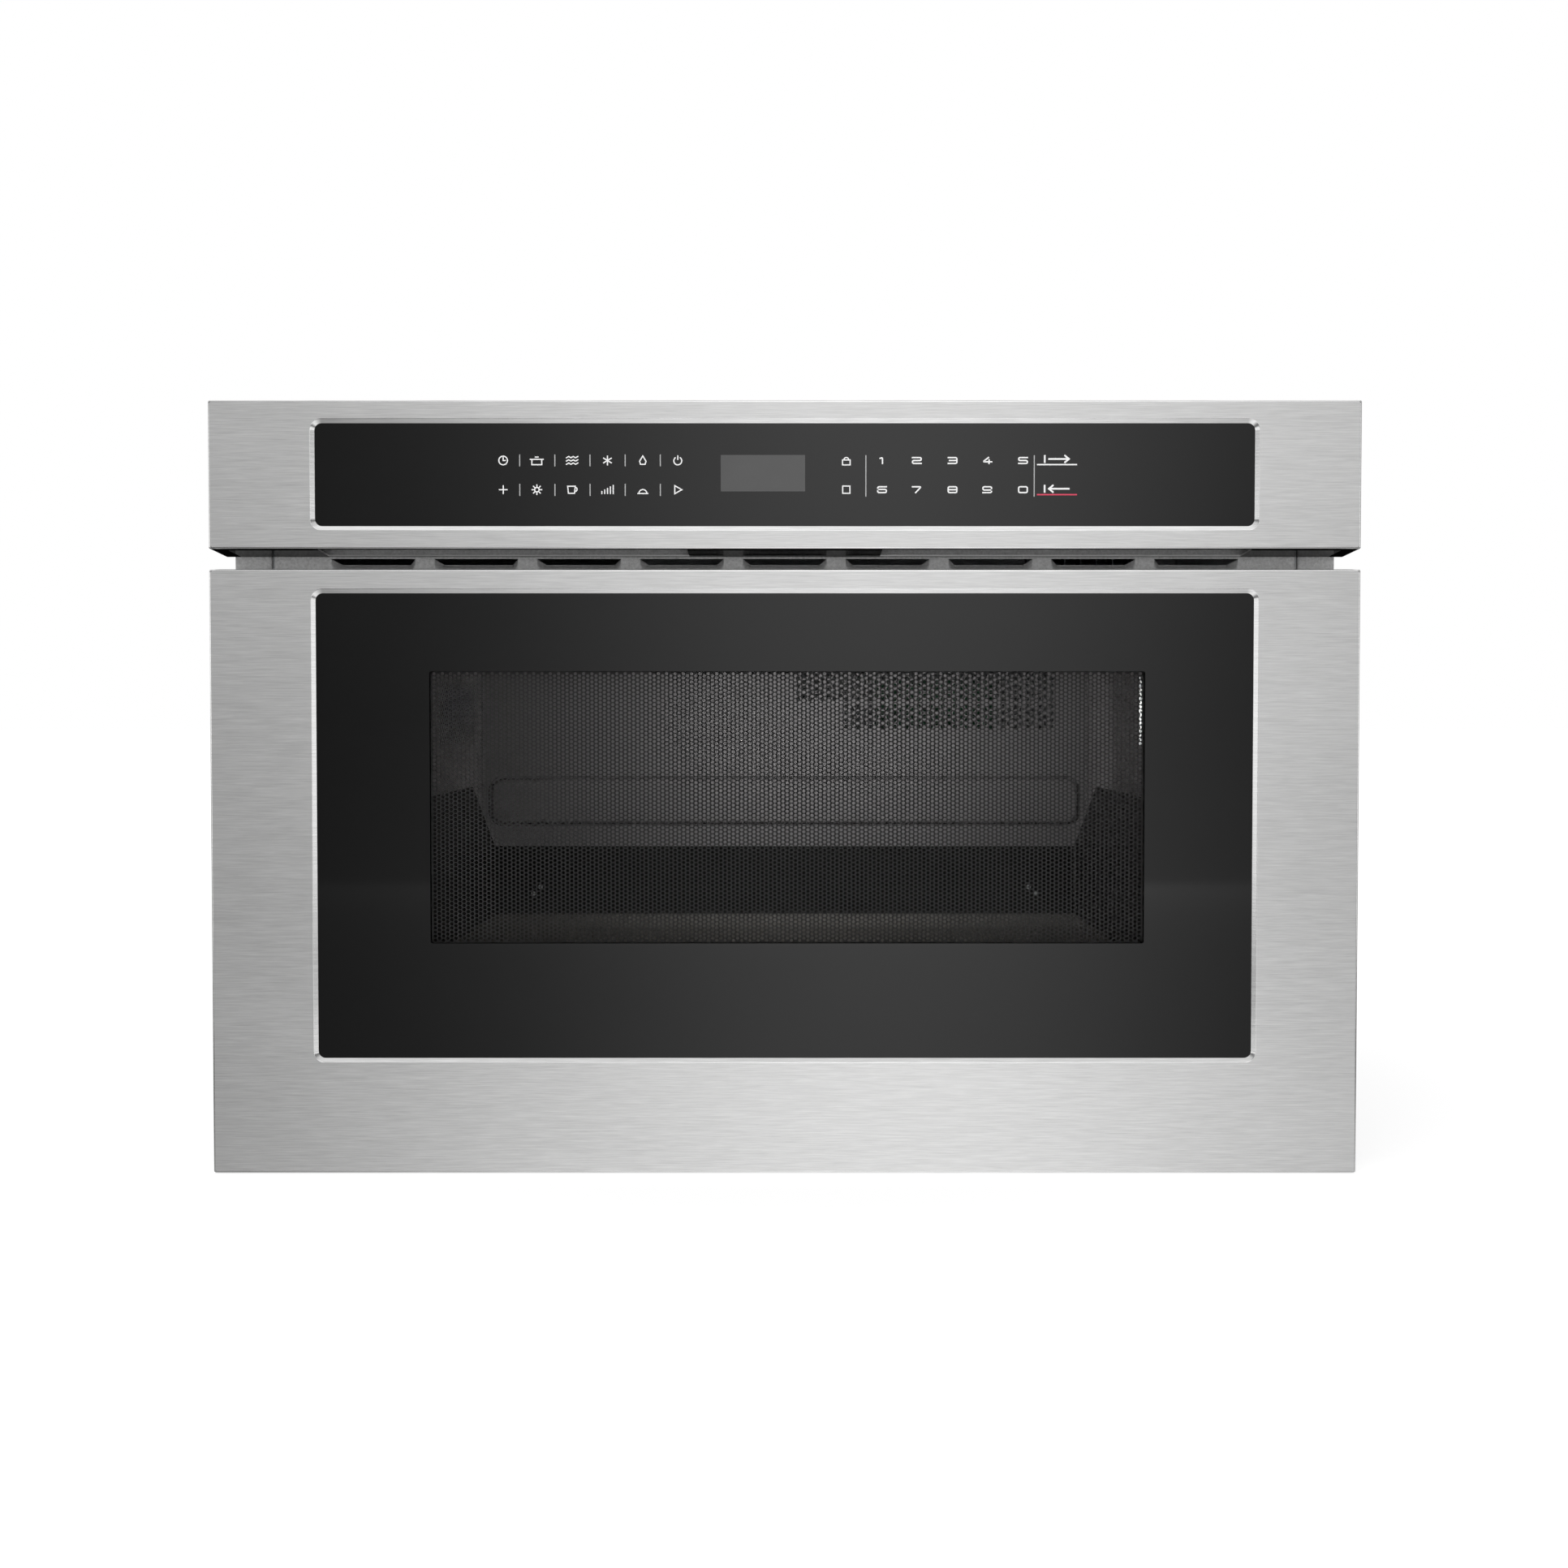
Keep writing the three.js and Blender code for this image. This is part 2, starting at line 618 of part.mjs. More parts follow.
function microwaveFeed() {
  const guideX = [-waveguideWidth / 2, guideEnd];
  const guideY = around(wellDepth, waveguideWidth / 2);
  const guideZ = [guideBottom, guideTop];
  const guideMiddle = (guideBottom + guideTop) / 2;
  const waveguide = cut(
    box(guideX, guideY, guideZ),
    box(grown(guideX, -guideSheet), grown(guideY, -guideSheet), grown(guideZ, -guideSheet)),
    cylinder("z", 0, wellDepth, feedRadius - 2, guideBottom - 1, guideBottom + 5),
    cylinder("z", 0, wellDepth, shaftRadius + 1, guideTop - 5, guideTop + 1, 12),
    cylinder("x", wellDepth, guideMiddle, antennaRadius + 3, guideEnd - 5, guideEnd + 1, 16),
  );
  place("waveguide", waveguide, galvanised);

  const coverTop = cavityCeiling - seat;
  const cover = revolve([
    [0, coverTop - coverThickness], [wellRadius + 8, coverTop - coverThickness],
    [wellRadius + 10, coverTop], [0, coverTop],
  ], 0, wellDepth);
  place("stirrer_cover", cover, mica);

  const motorBottom = guideTop + seat;
  const motor = cut(
    join(
      cylinder("z", 0, wellDepth, 24, motorBottom, motorBottom + 16, 20),
      box(across(32), around(wellDepth, 8), [motorBottom, motorBottom + 1.5]),
    ),
    cylinder("z", 0, wellDepth, shaftRadius + runningGap, motorBottom - 1, motorBottom + 9, 12),
  );
  place("stirrer_motor", motor, galvanised);
  stirrer(motorBottom + 8);
  magnetron(guideMiddle);
}

// three rounded vanes on a long shaft, turning inside the well
function stirrer(shaftTop) {
  const vaneZ = [coverGap, coverGap + 1.5];
  const vanes = Array.from({ length: 36 }, (_, i) => {
    const angle = i / 36 * 2 * Math.PI;
    const reach = stirrerRadius * (0.6 + 0.4 * Math.cos(3 * angle));
    return [reach * Math.cos(angle), reach * Math.sin(angle)];
  });
  const body = join(
    prism("z", vanes, ...vaneZ),
    cylinder("z", 0, 0, 9, vaneZ[0] - 2, vaneZ[1] + 6, 16),
    cylinder("z", 0, 0, shaftRadius, vaneZ[0], shaftTop, 12),
  );
  place("stirrer", body, aluminium).position.y = wellDepth;
}

const coverGap = cavityCeiling + 7;

// fins inside an open yoke, the antenna reaching into the waveguide
function magnetron(axisZ) {
  const start = guideEnd + seat + 2;
  const length = 80;
  const yokeY = around(wellDepth, 36);
  const yokeZ = around(axisZ, 34);
  const yoke = cut(
    box([start, start + length], yokeY, yokeZ),
    box([start + 1.5, start + length - 1.5], grown(yokeY, 1), grown(yokeZ, -1.5)),
  );
  const fins = Array.from({ length: 6 }, (_, i) => {
    const x = start + 14 + i * 10;
    return box([x, x + 1], grown(yokeY, -3), grown(yokeZ, -1));
  });
  const body = join(
    yoke, fins,
    cylinder("x", wellDepth, axisZ, 17, start, start + length, 16),
    cylinder("x", wellDepth, axisZ, antennaRadius + 8, guideEnd + seat, start + 1, 20),
    cylinder("x", wellDepth, axisZ, antennaRadius, guideEnd - 20, start + 1, 12),
    box([start + length - 1, start + length + 16], around(wellDepth, 24), around(axisZ, 18)),
  );
  place("magnetron", body, galvanised);
}

// ---- power parts in the rear of the body ----
function powerParts() {
  const floor = caseFloorTop + seat;
  const middle = (cavityBack + caseBack) / 2;
  const transformerX = [-215, -125];
  const centreX = (transformerX[0] + transformerX[1]) / 2;
  const core = cut(
    box(transformerX, around(middle, 22), [floor + 1, floor + 76]),
    [-24, 24].map((shift) => box(
      around(centreX + shift, 8), around(middle, 23), [floor + 17, floor + 60],
    )),
  );
  const coil = prism(
    "z", roundedRect(around(centreX, 29), around(middle, 33), 14, 3), floor + 20, floor + 57,
  );
  const foot = box(grown(transformerX, 8), around(middle, 26), [floor, floor + 2]);
  place("high_voltage_transformer", join(core, coil, foot), copperRed);

  const canX = -64;
  const can = join(
    prism("z", roundedRect(around(canX, 26), around(middle, 15), 14.9, 5), floor, floor + 88),
    [-10, 10].map((shift) => box(around(canX + shift, 3), around(middle, 1), [floor + 87, floor + 98])),
  );
  place("high_voltage_capacitor", can, aluminium);

  const boardBack = caseRear - 6;
  const boardX = [70, 165];
  const boardZ = [200, 270];
  const posts = grown(boardX, -8).flatMap(
    (x) => grown(boardZ, -8).map((z) => cylinder("y", x, z, 3, boardBack - 1, caseRear, 8)),
  );
  const board = join(
    box(boardX, [boardBack - boardSheet, boardBack], boardZ),
    posts,
    cylinder("y", 100, 236, 14, boardBack - 16, boardBack - 1, 16),
    box([125, 150], [boardBack - 20, boardBack - 1], [215, 232]),
    box([125, 150], [boardBack - 14, boardBack - 1], [240, 256]),
  );
  place("filter_board", board, boardGreen);
}

// ---- cooling ----
const fanCentre = cavityCeiling + cavitySheet + seat + fanFrame / 2;

function cooling() {
  const half = fanFrame / 2;
  const frontY = fanDepth - 13;
  const backY = fanDepth + 13;
  const ring = prism(
    "y", roundedRect(around(fanOffset, half), around(fanCentre, half), 6, 2),
    frontY, backY, [disc(fanOffset, fanCentre, fanRadius + 1.5, 32)],
  );
  const arms = [0, 1, 2].map((i) => {
    const angle = Math.PI / 2 + i * 2 * Math.PI / 3;
    const [dx, dz] = [Math.cos(angle), Math.sin(angle)];
    const reach = fanRadius + 3;
    const wide = 3;
    return prism("y", [
      [fanOffset - dz * wide, fanCentre + dx * wide], [fanOffset + dz * wide, fanCentre - dx * wide],
      [fanOffset + dx * reach + dz * wide, fanCentre + dz * reach - dx * wide],
      [fanOffset + dx * reach - dz * wide, fanCentre + dz * reach + dx * wide],
    ], backY - 3, backY);
  });
  const mount = cylinder("y", fanOffset, fanCentre, 13, backY - 3, backY, 20);
  const bore = cylinder("y", fanOffset, fanCentre, 3.5, backY - 4, backY + 1, 12);
  place("fan_shroud", cut(join(ring, arms, mount), bore), blackPlastic);

  const motor = cut(
    cylinder("y", fanOffset, fanCentre, 17, backY + seat, backY + 30, 20),
    cylinder("y", fanOffset, fanCentre, 2.5 + runningGap, backY, backY + 14, 12),
  );
  place("fan_motor", motor, darkSteel);

  const stations = [[11, 16, 48], [22, 19, 38], [fanRadius - 0.5, 21, 28]];
  const blade = loft(stations.map(([radius, chord, degrees]) => {
    const angle = degrees * Math.PI / 180;
    const [sin, cos] = [Math.sin(angle), Math.cos(angle)];
    const section = rectangle(across(chord / 2), across(bladeThickness / 2));
    return { y: radius, points: section.map(([u, v]) => [u * cos - v * sin, u * sin + v * cos]) };
  }));
  const upright = new THREE.Matrix4().set(1, 0, 0, 0, 0, 0, 1, 0, 0, 1, 0, 0, 0, 0, 0, 1);
  const blades = Array.from({ length: fanBladeCount }, (_, i) => {
    const turn = new THREE.Matrix4().makeRotationY(i * 2 * Math.PI / fanBladeCount);
    return moved(blade, turn.multiply(upright));
  });
  const fan = join(
    blades,
    cylinder("y", 0, 0, 13, -8, 8, 20),
    cylinder("y", 0, 0, 2.5, 7, 25, 12),
  );
  place("fan_blade", fan, blackPlastic).position.set(fanOffset, fanDepth, fanCentre);
}

// ---- cavity lamp ----
function lamp() {
  const wall = halfCavity + cavitySheet + seat;
  const depth = 30;
  const y = around(lampDepth, 24);
  const z = around(lampZ, 26);
  const holder = cut(
    box([wall, wall + depth], y, z),
    box([wall - 1, wall + depth - 1], grown(y, -1), grown(z, -1)),
    cylinder("x", lampDepth, lampZ, 9, wall + depth - 2, wall + depth + 1, 16),
  );
  place("lamp_holder", holder, galvanised);
  const bulb = new THREE.SphereGeometry(9, 12, 8);
  bulb.translate(wall + 13, lampDepth, lampZ);
  const socket = join(
    toSolid(bulb),
    cylinder("x", lampDepth, lampZ, 6, wall + 17, wall + depth + 5, 16),
    cylinder("x", lampDepth, lampZ, 12, wall + depth + seat, wall + depth + 9, 16),
  );
  place("cavity_lamp", socket, warmLamp);
}

// ---- telescopic slides ----
// outlines in s, the distance in from the case wall, and z from the slide's centre line
function slideOutline(points, side) {
  return points.map(([s, z]) => [side * (slideWall - s), slideCentre + z]);
}

const mirrored = (half) => [...half, ...half.map(([s, z]) => [s, -z]).toReversed()];

function slideProfiles() {
  const t = slideSheet;
  const top = slideHeight / 2;
  const lip = 4;
  const raceTop = top - t - runningGap;
  const innerTop = raceTop - t - lip + 1;
  const webS = slideThickness * 0.4;
  const outer = mirrored([
    [t, top - t], [slideThickness - t, top - t], [slideThickness - t, top - t - lip],
    [slideThickness, top - t - lip], [slideThickness, top], [0, top],
  ]);
  const middle = mirrored([
    [webS + t, raceTop - t], [slideThickness - 2 * t - runningGap, raceTop - t],
    [slideThickness - 2 * t - runningGap, raceTop - t - lip + 1.4],
    [slideThickness - t - runningGap, raceTop - t - lip + 1.4],
    [slideThickness - t - runningGap, raceTop], [t + runningGap, raceTop],
    [t + runningGap, raceTop - lip], [2 * t + runningGap, raceTop - lip],
    [2 * t + runningGap, raceTop - t], [webS, raceTop - t],
  ]);
  const inner = mirrored([
    [slideThickness, innerTop], [webS + t + runningGap, innerTop],
    [webS + t + runningGap, innerTop - t], [slideThickness - t, innerTop - t],
  ]);
  return { outer, middle, inner };
}

const slideStart = caseFront + 6;

function slides() {
  const profiles = slideProfiles();
  const ends = {                 // how far each member starts behind the outer one, and ends short of it
    outer: [0, 0],
    middle: [2, 4],
    inner: [0, 8],
  };
  for (const [name, side] of Object.entries(sides)) {
    for (const [member, [behind, short]] of Object.entries(ends)) {
      const outline = slideOutline(profiles[member], side);
      const solid = prism("y", outline, slideStart + behind, slideStart + slideLength - short);
      place(`slide_${member}_${name}`, solid, galvanised);
    }
  }
}

// ---- drive ----
function pinionOutline() {
  const pressure = 20 * Math.PI / 180;
  const involute = (angle) => Math.tan(angle) - angle;
  const base = pinionRadius * Math.cos(pressure);
  const root = pinionRadius - rackDedendum;
  const tip = pinionRadius + gearModule;
  const half = Math.PI / (2 * pinionTeeth) - backlash / 4 / pinionRadius;
  const flank = [base, pinionRadius, (pinionRadius + tip) / 2, tip].map((radius) => [
    radius, half + involute(pressure) - involute(Math.acos(base / radius)),
  ]);
  const profile = [[root, flank[0][1]], ...flank];
  return Array.from({ length: pinionTeeth }, (_, tooth) => {
    const middle = Math.PI / 2 + tooth * 2 * Math.PI / pinionTeeth;
    const rising = profile.map(([radius, offset]) => [radius, middle - offset]);
    const falling = profile.map(([radius, offset]) => [radius, middle + offset]).toReversed();
    return [...rising, ...falling].map(([r, angle]) => [r * Math.cos(angle), r * Math.sin(angle)]);
  }).flat();
}

// teeth point down; a tooth space stands over the pinion's upper tooth
function rackOutline(from, to) {
  const pitch = Math.PI * gearModule;
  const slope = Math.tan(20 * Math.PI / 180);
  const atPitch = pitch / 4 - backlash / 4;
  const tipHalf = atPitch - rackAddendum * slope;
  const rootHalf = atPitch + rackDedendum * slope;
  const low = rackPitchLine - rackAddendum;
  const high = rackPitchLine + rackDedendum;
  const first = Math.ceil((from + pitch - pinionDepth) / pitch);
  const count = Math.floor((to - from - 2 * pitch) / pitch);
  const tooth = [[-rootHalf, high], [-tipHalf, low], [tipHalf, low], [rootHalf, high]];
  const teeth = Array.from({ length: count }, (_, i) => {
    const middle = pinionDepth + (first + i + 0.5) * pitch;
    return tooth.map(([shift, z]) => [middle + shift, z]);
  }).flat();
  return [[from, high], ...teeth, [to, high], [to, rackTop], [from, rackTop]];
}

function drive() {
  const rackFrom = braceBack + seat;
  const rackTo = pinionDepth + travel + 3 * Math.PI * gearModule;
  const rack = join(
    prism("x", rackOutline(rackFrom, rackTo), -rackWidth / 2, rackWidth / 2),
    box(across(16), [rackFrom, rackFrom + 3], [rackPitchLine - 14, rackTop]),
  );
  place("drive_rack", rack, whitePlastic);

  const shaft = 4;
  const pinion = join(
    prism("x", pinionOutline(), -pinionFace / 2, pinionFace / 2),
    cylinder("x", 0, 0, shaft, -pinionFace / 2 - 8, pinionFace / 2 + 14, 16),
  );
  place("drive_pinion", pinion, whitePlastic).position.set(0, pinionDepth, pinionCentre);

  const cheek = pinionFace / 2 + runningGap;
  const floor = caseFloorTop + seat;
  const y = around(pinionDepth, 28);
  const guideY = around(pinionDepth, 14);
  const guideRoof = [rackTop + runningGap, rackTop + runningGap + 4];
  const gearbox = cut(
    join(
      box([cheek, cheek + 36], y, [floor, rackPitchLine - 4]),
      box([cheek, cheek + 6], guideY, [floor, guideRoof[1]]),
      box([-cheek - 8, -cheek], guideY, [floor, guideRoof[1]]),
      box([-cheek - 8, cheek + 6], guideY, guideRoof),
      box([-cheek - 8, cheek + 36], y, [floor, floor + 3]),
    ),
    cylinder("x", pinionDepth, pinionCentre, shaft + runningGap, -cheek - 9, cheek + 15, 16),
  );
  place("drive_gearbox", gearbox, blackPlastic);
  const motorFront = y[1] + seat;
  const motor = join(
    cylinder("y", cheek + 18, floor + 18.5, 18, motorFront, motorFront + 52, 24),
    cylinder("y", cheek + 18, floor + 18.5, 8, motorFront + 51, motorFront + 56, 16),
  );
  place("drive_motor", motor, darkSteel);
}

// ---- door interlock ----
function interlock() {
  const hookY = braceBack + seat;
  for (const [name, side] of Object.entries(sides)) {
    const middleX = (hookX[0] + hookX[1]) / 2;
    const blade = [
      [hookY, hookZ[0] + 6], [hookY + 26, hookZ[0] + 6], [hookY + 26, hookZ[0]], [hookY + 30, hookZ[0]],
      [hookY + 34, hookZ[0] + 7], [hookY + 34, hookZ[1] - 8], [hookY, hookZ[1] - 2],
    ];
    const hook = join(
      prism("x", blade, ...span(side, middleX - 1.5, middleX + 1.5)),
      box(span(side, ...hookX), [hookY, hookY + 2], hookZ),
    );
    place(`latch_hook_${name}`, hook, whitePlastic);

    const back = [flangeBack + seat, flangeBack + 44];
    const plateX = span(side, hookX[0] - 20, hookX[0] - 1);
    const switchX = span(side, hookX[0] - 14, hookX[0] - 3);
    const switchY = [back[0] + 12, back[0] + 40];
    const frame = join(
      box(plateX, [back[0], back[0] + 2], grown(hookZ, 14)),
      box(span(side, hookX[0] - 4, hookX[0] - 1), back, grown(hookZ, 10)),
      [hookZ[0] - 2, hookZ[1] - 16].map((z) => box(switchX, switchY, [z, z + 18])),
    );
    place(`interlock_switches_${name}`, frame, blackPlastic);
  }
}

// ---- drawer front ----
const doorFasciaDepth = 30;
const doorGlassX = panelGlassX;
const doorGlassZ = [doorGlassBottom, doorTop - doorGlassTop];
const braceFront = doorFasciaDepth + seat;
const braceBack = braceFront + 1.2;
const viewX = across(windowWidth / 2 + 11);
const viewZ = [windowBottom - 10, windowBottom + windowHeight + 12];

function drawerFront() {
  const front = fascia(across(halfFront), [0, doorTop], doorFasciaDepth, doorGlassX, doorGlassZ);
  place("drawer_fascia", front, brushedSteel);
  const glass = roundedRect(grown(doorGlassX, glassOverlap), grown(doorGlassZ, glassOverlap), glassCorner);
  place("drawer_glass", prism("y", glass, glassFront, glassBack), blackGlass);

  const frameFront = glassBack + seat;
  const frameX = across(halfFront - 4);
  const frameZ = [4, doorTop - 4];
  const holeZ = grown([windowBottom, windowBottom + windowHeight], 3);
  const screenHole = roundedRect(across(windowWidth / 2 + 3), holeZ, 3, 1);
  const frame = cut(
    box(frameX, [frameFront, doorFasciaDepth], frameZ),
    box(grown(frameX, -1), [frameFront + 1, doorFasciaDepth + 1], grown(frameZ, -1)),
    prism("y", screenHole, frameFront - 1, frameFront + 2),
  );
  place("door_frame", frame, darkSteel);

  const screenFront = frameFront + 1 + seat;
  place("perforated_screen", box(viewX, [screenFront, screenFront + 0.6], viewZ), darkSteel);

  const pane = [grown(viewX, 6), [braceFront - seat - 3, braceFront - seat], grown(viewZ, 4)];
  place("inner_window", box(...pane), clearGlass);

  const opening = roundedRect(viewX, viewZ, 3, 1);
  const bracePlan = rectangle(across(halfFront - 2), grown([0, doorTop], -3));
  const brace = prism("y", bracePlan, braceFront, braceBack, [opening]);
  const tabX = slideWall - slideThickness - seat;
  const tabs = Object.values(sides).map((side) => box(
    span(side, tabX - 1.5, tabX), [braceFront, slideStart + 70], around(slideCentre, 13),
  ));
  place("door_back_plate", join(brace, tabs), galvanised);

  const chokeX = across(halfCavity + 31);
  const chokeZ = [cavityFloor - 22, cavityCeiling + 22];
  const chokeFront = braceBack + seat;
  const choke = cut(
    loft([
      { y: chokeFront, points: roundedRect(chokeX, chokeZ, 8) },
      { y: doorBack - 1, points: roundedRect(chokeX, chokeZ, 8) },
      { y: doorBack, points: roundedRect(grown(chokeX, -1), grown(chokeZ, -1), 7) },
    ]),
    prism("y", opening, chokeFront - 1, doorBack + 1),
  );
  place("choke_cover", choke, blackPlastic);
}

// ---- drawer ----
function drawerBox() {
  const floorZ = [cavityFloor + 2.4, cavityFloor + 2.4 + drawerSheet];
  const outer = halfDrawer + drawerSheet;
  const front = doorBack + seat;
  const rear = drawerRear + drawerSheet;
  const innerX = across(halfDrawer - seat);
  const pan = join(
    box(across(outer), [front, rear], floorZ),
    box(innerX, [drawerRear, rear], [floorZ[0], drawerRearTop]),
  );
  place("drawer_pan", pan, darkEnamel);

  const standing = floorZ[1] + seat;
  const bend = 16;
  const slant = Math.atan2(drawerWallTop - drawerRearTop, drawerRear - wallShoulder);
  const upright = Math.PI / 2;
  const shoulder = arcPoints(wallShoulder - bend, drawerWallTop - bend, bend, upright - slant, upright, 3);
  const wall = [
    [front, standing], [rear, standing], [rear, drawerRearTop], ...shoulder, [front, drawerWallTop],
  ];
  for (const [name, side] of Object.entries(sides)) {
    place(`drawer_${name}_wall`, prism("x", wall, ...span(side, halfDrawer, outer)), darkEnamel);
  }

  const tray = [grown([front, drawerRear - seat], -1), [standing, standing + trayThickness]];
  const trayPlan = (inset) => roundedRect(grown(innerX, -inset), grown(tray[0], -inset), 6, 3);
  place("ceramic_tray", prism("z", trayPlan(0.5), ...tray[1]), glassCeramic);
}

controlPanel();
frontFrame();
caseShells();
cavity();
microwaveFeed();
powerParts();
cooling();
lamp();
slides();
drive();
interlock();
drawerFront();
drawerBox();

export default group;
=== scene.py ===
import json
import math

import bmesh
import bpy
from mathutils import Matrix, Vector


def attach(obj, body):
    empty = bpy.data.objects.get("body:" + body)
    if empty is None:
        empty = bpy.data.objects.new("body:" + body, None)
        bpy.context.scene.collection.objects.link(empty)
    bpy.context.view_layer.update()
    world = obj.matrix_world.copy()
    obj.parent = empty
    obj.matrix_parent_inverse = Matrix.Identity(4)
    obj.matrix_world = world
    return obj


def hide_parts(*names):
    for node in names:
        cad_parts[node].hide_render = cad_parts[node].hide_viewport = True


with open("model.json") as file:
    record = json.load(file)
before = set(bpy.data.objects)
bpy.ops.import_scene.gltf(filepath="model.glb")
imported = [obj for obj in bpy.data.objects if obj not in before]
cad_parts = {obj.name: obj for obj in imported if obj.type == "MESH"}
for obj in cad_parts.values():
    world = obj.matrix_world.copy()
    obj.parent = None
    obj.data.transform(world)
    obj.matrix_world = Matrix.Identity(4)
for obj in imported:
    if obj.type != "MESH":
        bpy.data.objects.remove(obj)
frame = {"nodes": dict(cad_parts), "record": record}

scene = bpy.context.scene
scene.view_settings.view_transform = "Standard"
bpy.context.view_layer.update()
nodes = frame["nodes"]
halfDepth = 295                  # mm from the frame's origin to the front plane
print("frame loaded,", len(nodes), "nodes")


def place(x, depth, z):          # from mm across, behind the front plane and up
    return (x / 1000, (depth - halfDepth) / 1000, z / 1000)


def srgb(*levels):               # bright levels of 0 to 255, as a screen shows them
    return (*[((v / 255 + 0.055) / 1.055) ** 2.4 for v in levels], 1.0)


def grey(level):                 # a neutral colour, 0 to 1, as light
    return (level, level, level, 1.0)


def linked(name, data):
    thing = bpy.data.objects.new(name, data)
    scene.collection.objects.link(thing)
    return thing


camera = {"lens": 50, "sensor": 36, "spot": (-0.0004, -1.4441, 0.2439), "tilt": 88.1374}
eye = linked("camera", bpy.data.cameras.new("camera"))
eye.data.lens, eye.data.sensor_width = camera["lens"], camera["sensor"]
eye.location, eye.rotation_euler = camera["spot"], (math.radians(camera["tilt"]), 0, 0)
scene.camera = eye


class Wire:                      # a socket that takes part in sums
    def __init__(self, sheet, socket):
        self.sheet, self.socket = sheet, socket

    def sum(self, operation, a, b):
        return self.sheet.add("ShaderNodeMath", {"operation": operation}, {0: a, 1: b})

    def __add__(self, other): return self.sum("ADD", self, other)
    def __radd__(self, other): return self.sum("ADD", other, self)
    def __sub__(self, other): return self.sum("SUBTRACT", self, other)
    def __rsub__(self, other): return self.sum("SUBTRACT", other, self)
    def __mul__(self, other): return self.sum("MULTIPLY", self, other)
    def __rmul__(self, other): return self.sum("MULTIPLY", other, self)
    def __truediv__(self, other): return self.sum("DIVIDE", self, other)
    def __rtruediv__(self, other): return self.sum("DIVIDE", other, self)
    def __gt__(self, other): return self.sum("GREATER_THAN", self, other)
    def __lt__(self, other): return self.sum("LESS_THAN", self, other)


class Sheet:                     # the nodes of one material, or of the world
    def __init__(self, tree):
        self.tree = tree

    def add(self, kind, settings=None, values=None, output=0):
        node = self.tree.nodes.new(kind)
        for key, value in (settings or {}).items():
            setattr(node, key, value)
        for key, value in (values or {}).items():
            self.feed(node.inputs[key], value)
        return Wire(self, node.outputs[output])

    def feed(self, socket, value):
        if isinstance(value, Wire):
            self.tree.links.new(value.socket, socket)
        else:
            socket.default_value = value

    def scaled(self, x, y, z):   # the piece's own coordinates, stretched
        where = self.add("ShaderNodeTexCoord", output="Object")
        values = {0: where, 1: (x, y, z)}
        return self.add("ShaderNodeVectorMath", {"operation": "MULTIPLY"}, values)

    def along(self, axis):       # one of the piece's own coordinates, in metres
        return self.add("ShaderNodeSeparateXYZ", None, {0: self.scaled(1, 1, 1)}, output=axis)

    def noise(self, vector, detail=2.0, roughness=0.5):
        values = {"Vector": vector, "Scale": 1.0, "Detail": detail, "Roughness": roughness}
        return self.add("ShaderNodeTexNoise", None, values)

    def cells(self, vector, output=0, feature="F1"):
        values = {"Vector": vector, "Scale": 1.0}
        return self.add("ShaderNodeTexVoronoi", {"feature": feature}, values, output)

    def waves(self, direction, scale):
        values = {"Vector": self.scaled(1, 1, 1), "Scale": scale}
        return self.add("ShaderNodeTexWave", {"bands_direction": direction}, values, output=1)

    def channel(self, colour, index):
        return self.add("ShaderNodeSeparateColor", None, {0: colour}, output=index)

    def blend(self, share, a, b):
        return self.add("ShaderNodeMix", {"data_type": "RGBA"}, {0: share, 6: a, 7: b}, output=2)

    def clamp(self, value, low=0.0, high=1.0):
        return self.add("ShaderNodeClamp", None, {0: value, 1: low, 2: high})

    def smooth(self, value, low, high):
        soft = {"interpolation_type": "SMOOTHSTEP"}
        return self.add("ShaderNodeMapRange", soft, {0: value, 1: low, 2: high})

    def bell(self, value, middle, width):
        off = (value - middle) / width
        return self.add("ShaderNodeMath", {"operation": "EXPONENT"}, {0: 0 - off * off})

    def size(self, value):
        return self.add("ShaderNodeMath", {"operation": "ABSOLUTE"}, {0: value})

    def bump(self, height, distance, strength=1.0):
        values = {"Height": height, "Distance": distance, "Strength": strength}
        return self.add("ShaderNodeBump", None, values)


def newFinish(name, **plain):    # a material; plain values go straight on its shader
    material = bpy.data.materials.new(name)
    material.use_nodes = True
    sheet = Sheet(material.node_tree)
    sheet.shader = material.node_tree.nodes["Principled BSDF"]
    for key, value in plain.items():
        sheet.shader.inputs[key.replace("_", " ")].default_value = value
    return material, sheet


def paint(sheet, **wires):       # what varies over the surface
    for key, value in wires.items():
        sheet.feed(sheet.shader.inputs[key.replace("_", " ")], value)


def brushedSteel(name="brushed steel", rough=0.33):
    dark, bright = (0.60, 0.60, 0.597, 1), (0.97, 0.97, 0.967, 1)
    material, s = newFinish(name, Metallic=1.0, Anisotropic=0.45, Anisotropic_Rotation=0.25)
    fine = s.noise(s.scaled(40, 40, 3600), detail=2)
    streaks = s.noise(s.scaled(60, 60, 1800), detail=3, roughness=0.65)
    cloud = s.noise(s.scaled(4, 4, 9), detail=2)
    grain = streaks * 0.6 + fine * 0.25 + cloud * 0.15
    sharper = s.clamp((grain - 0.5) * 1.7 + 0.5)
    paint(s, Base_Color=s.blend(sharper, dark, bright), Roughness=rough + grain * rough * 0.6,
          Normal=s.bump(streaks * 0.6 + fine * 0.4, 0.00003, 0.5))
    return material


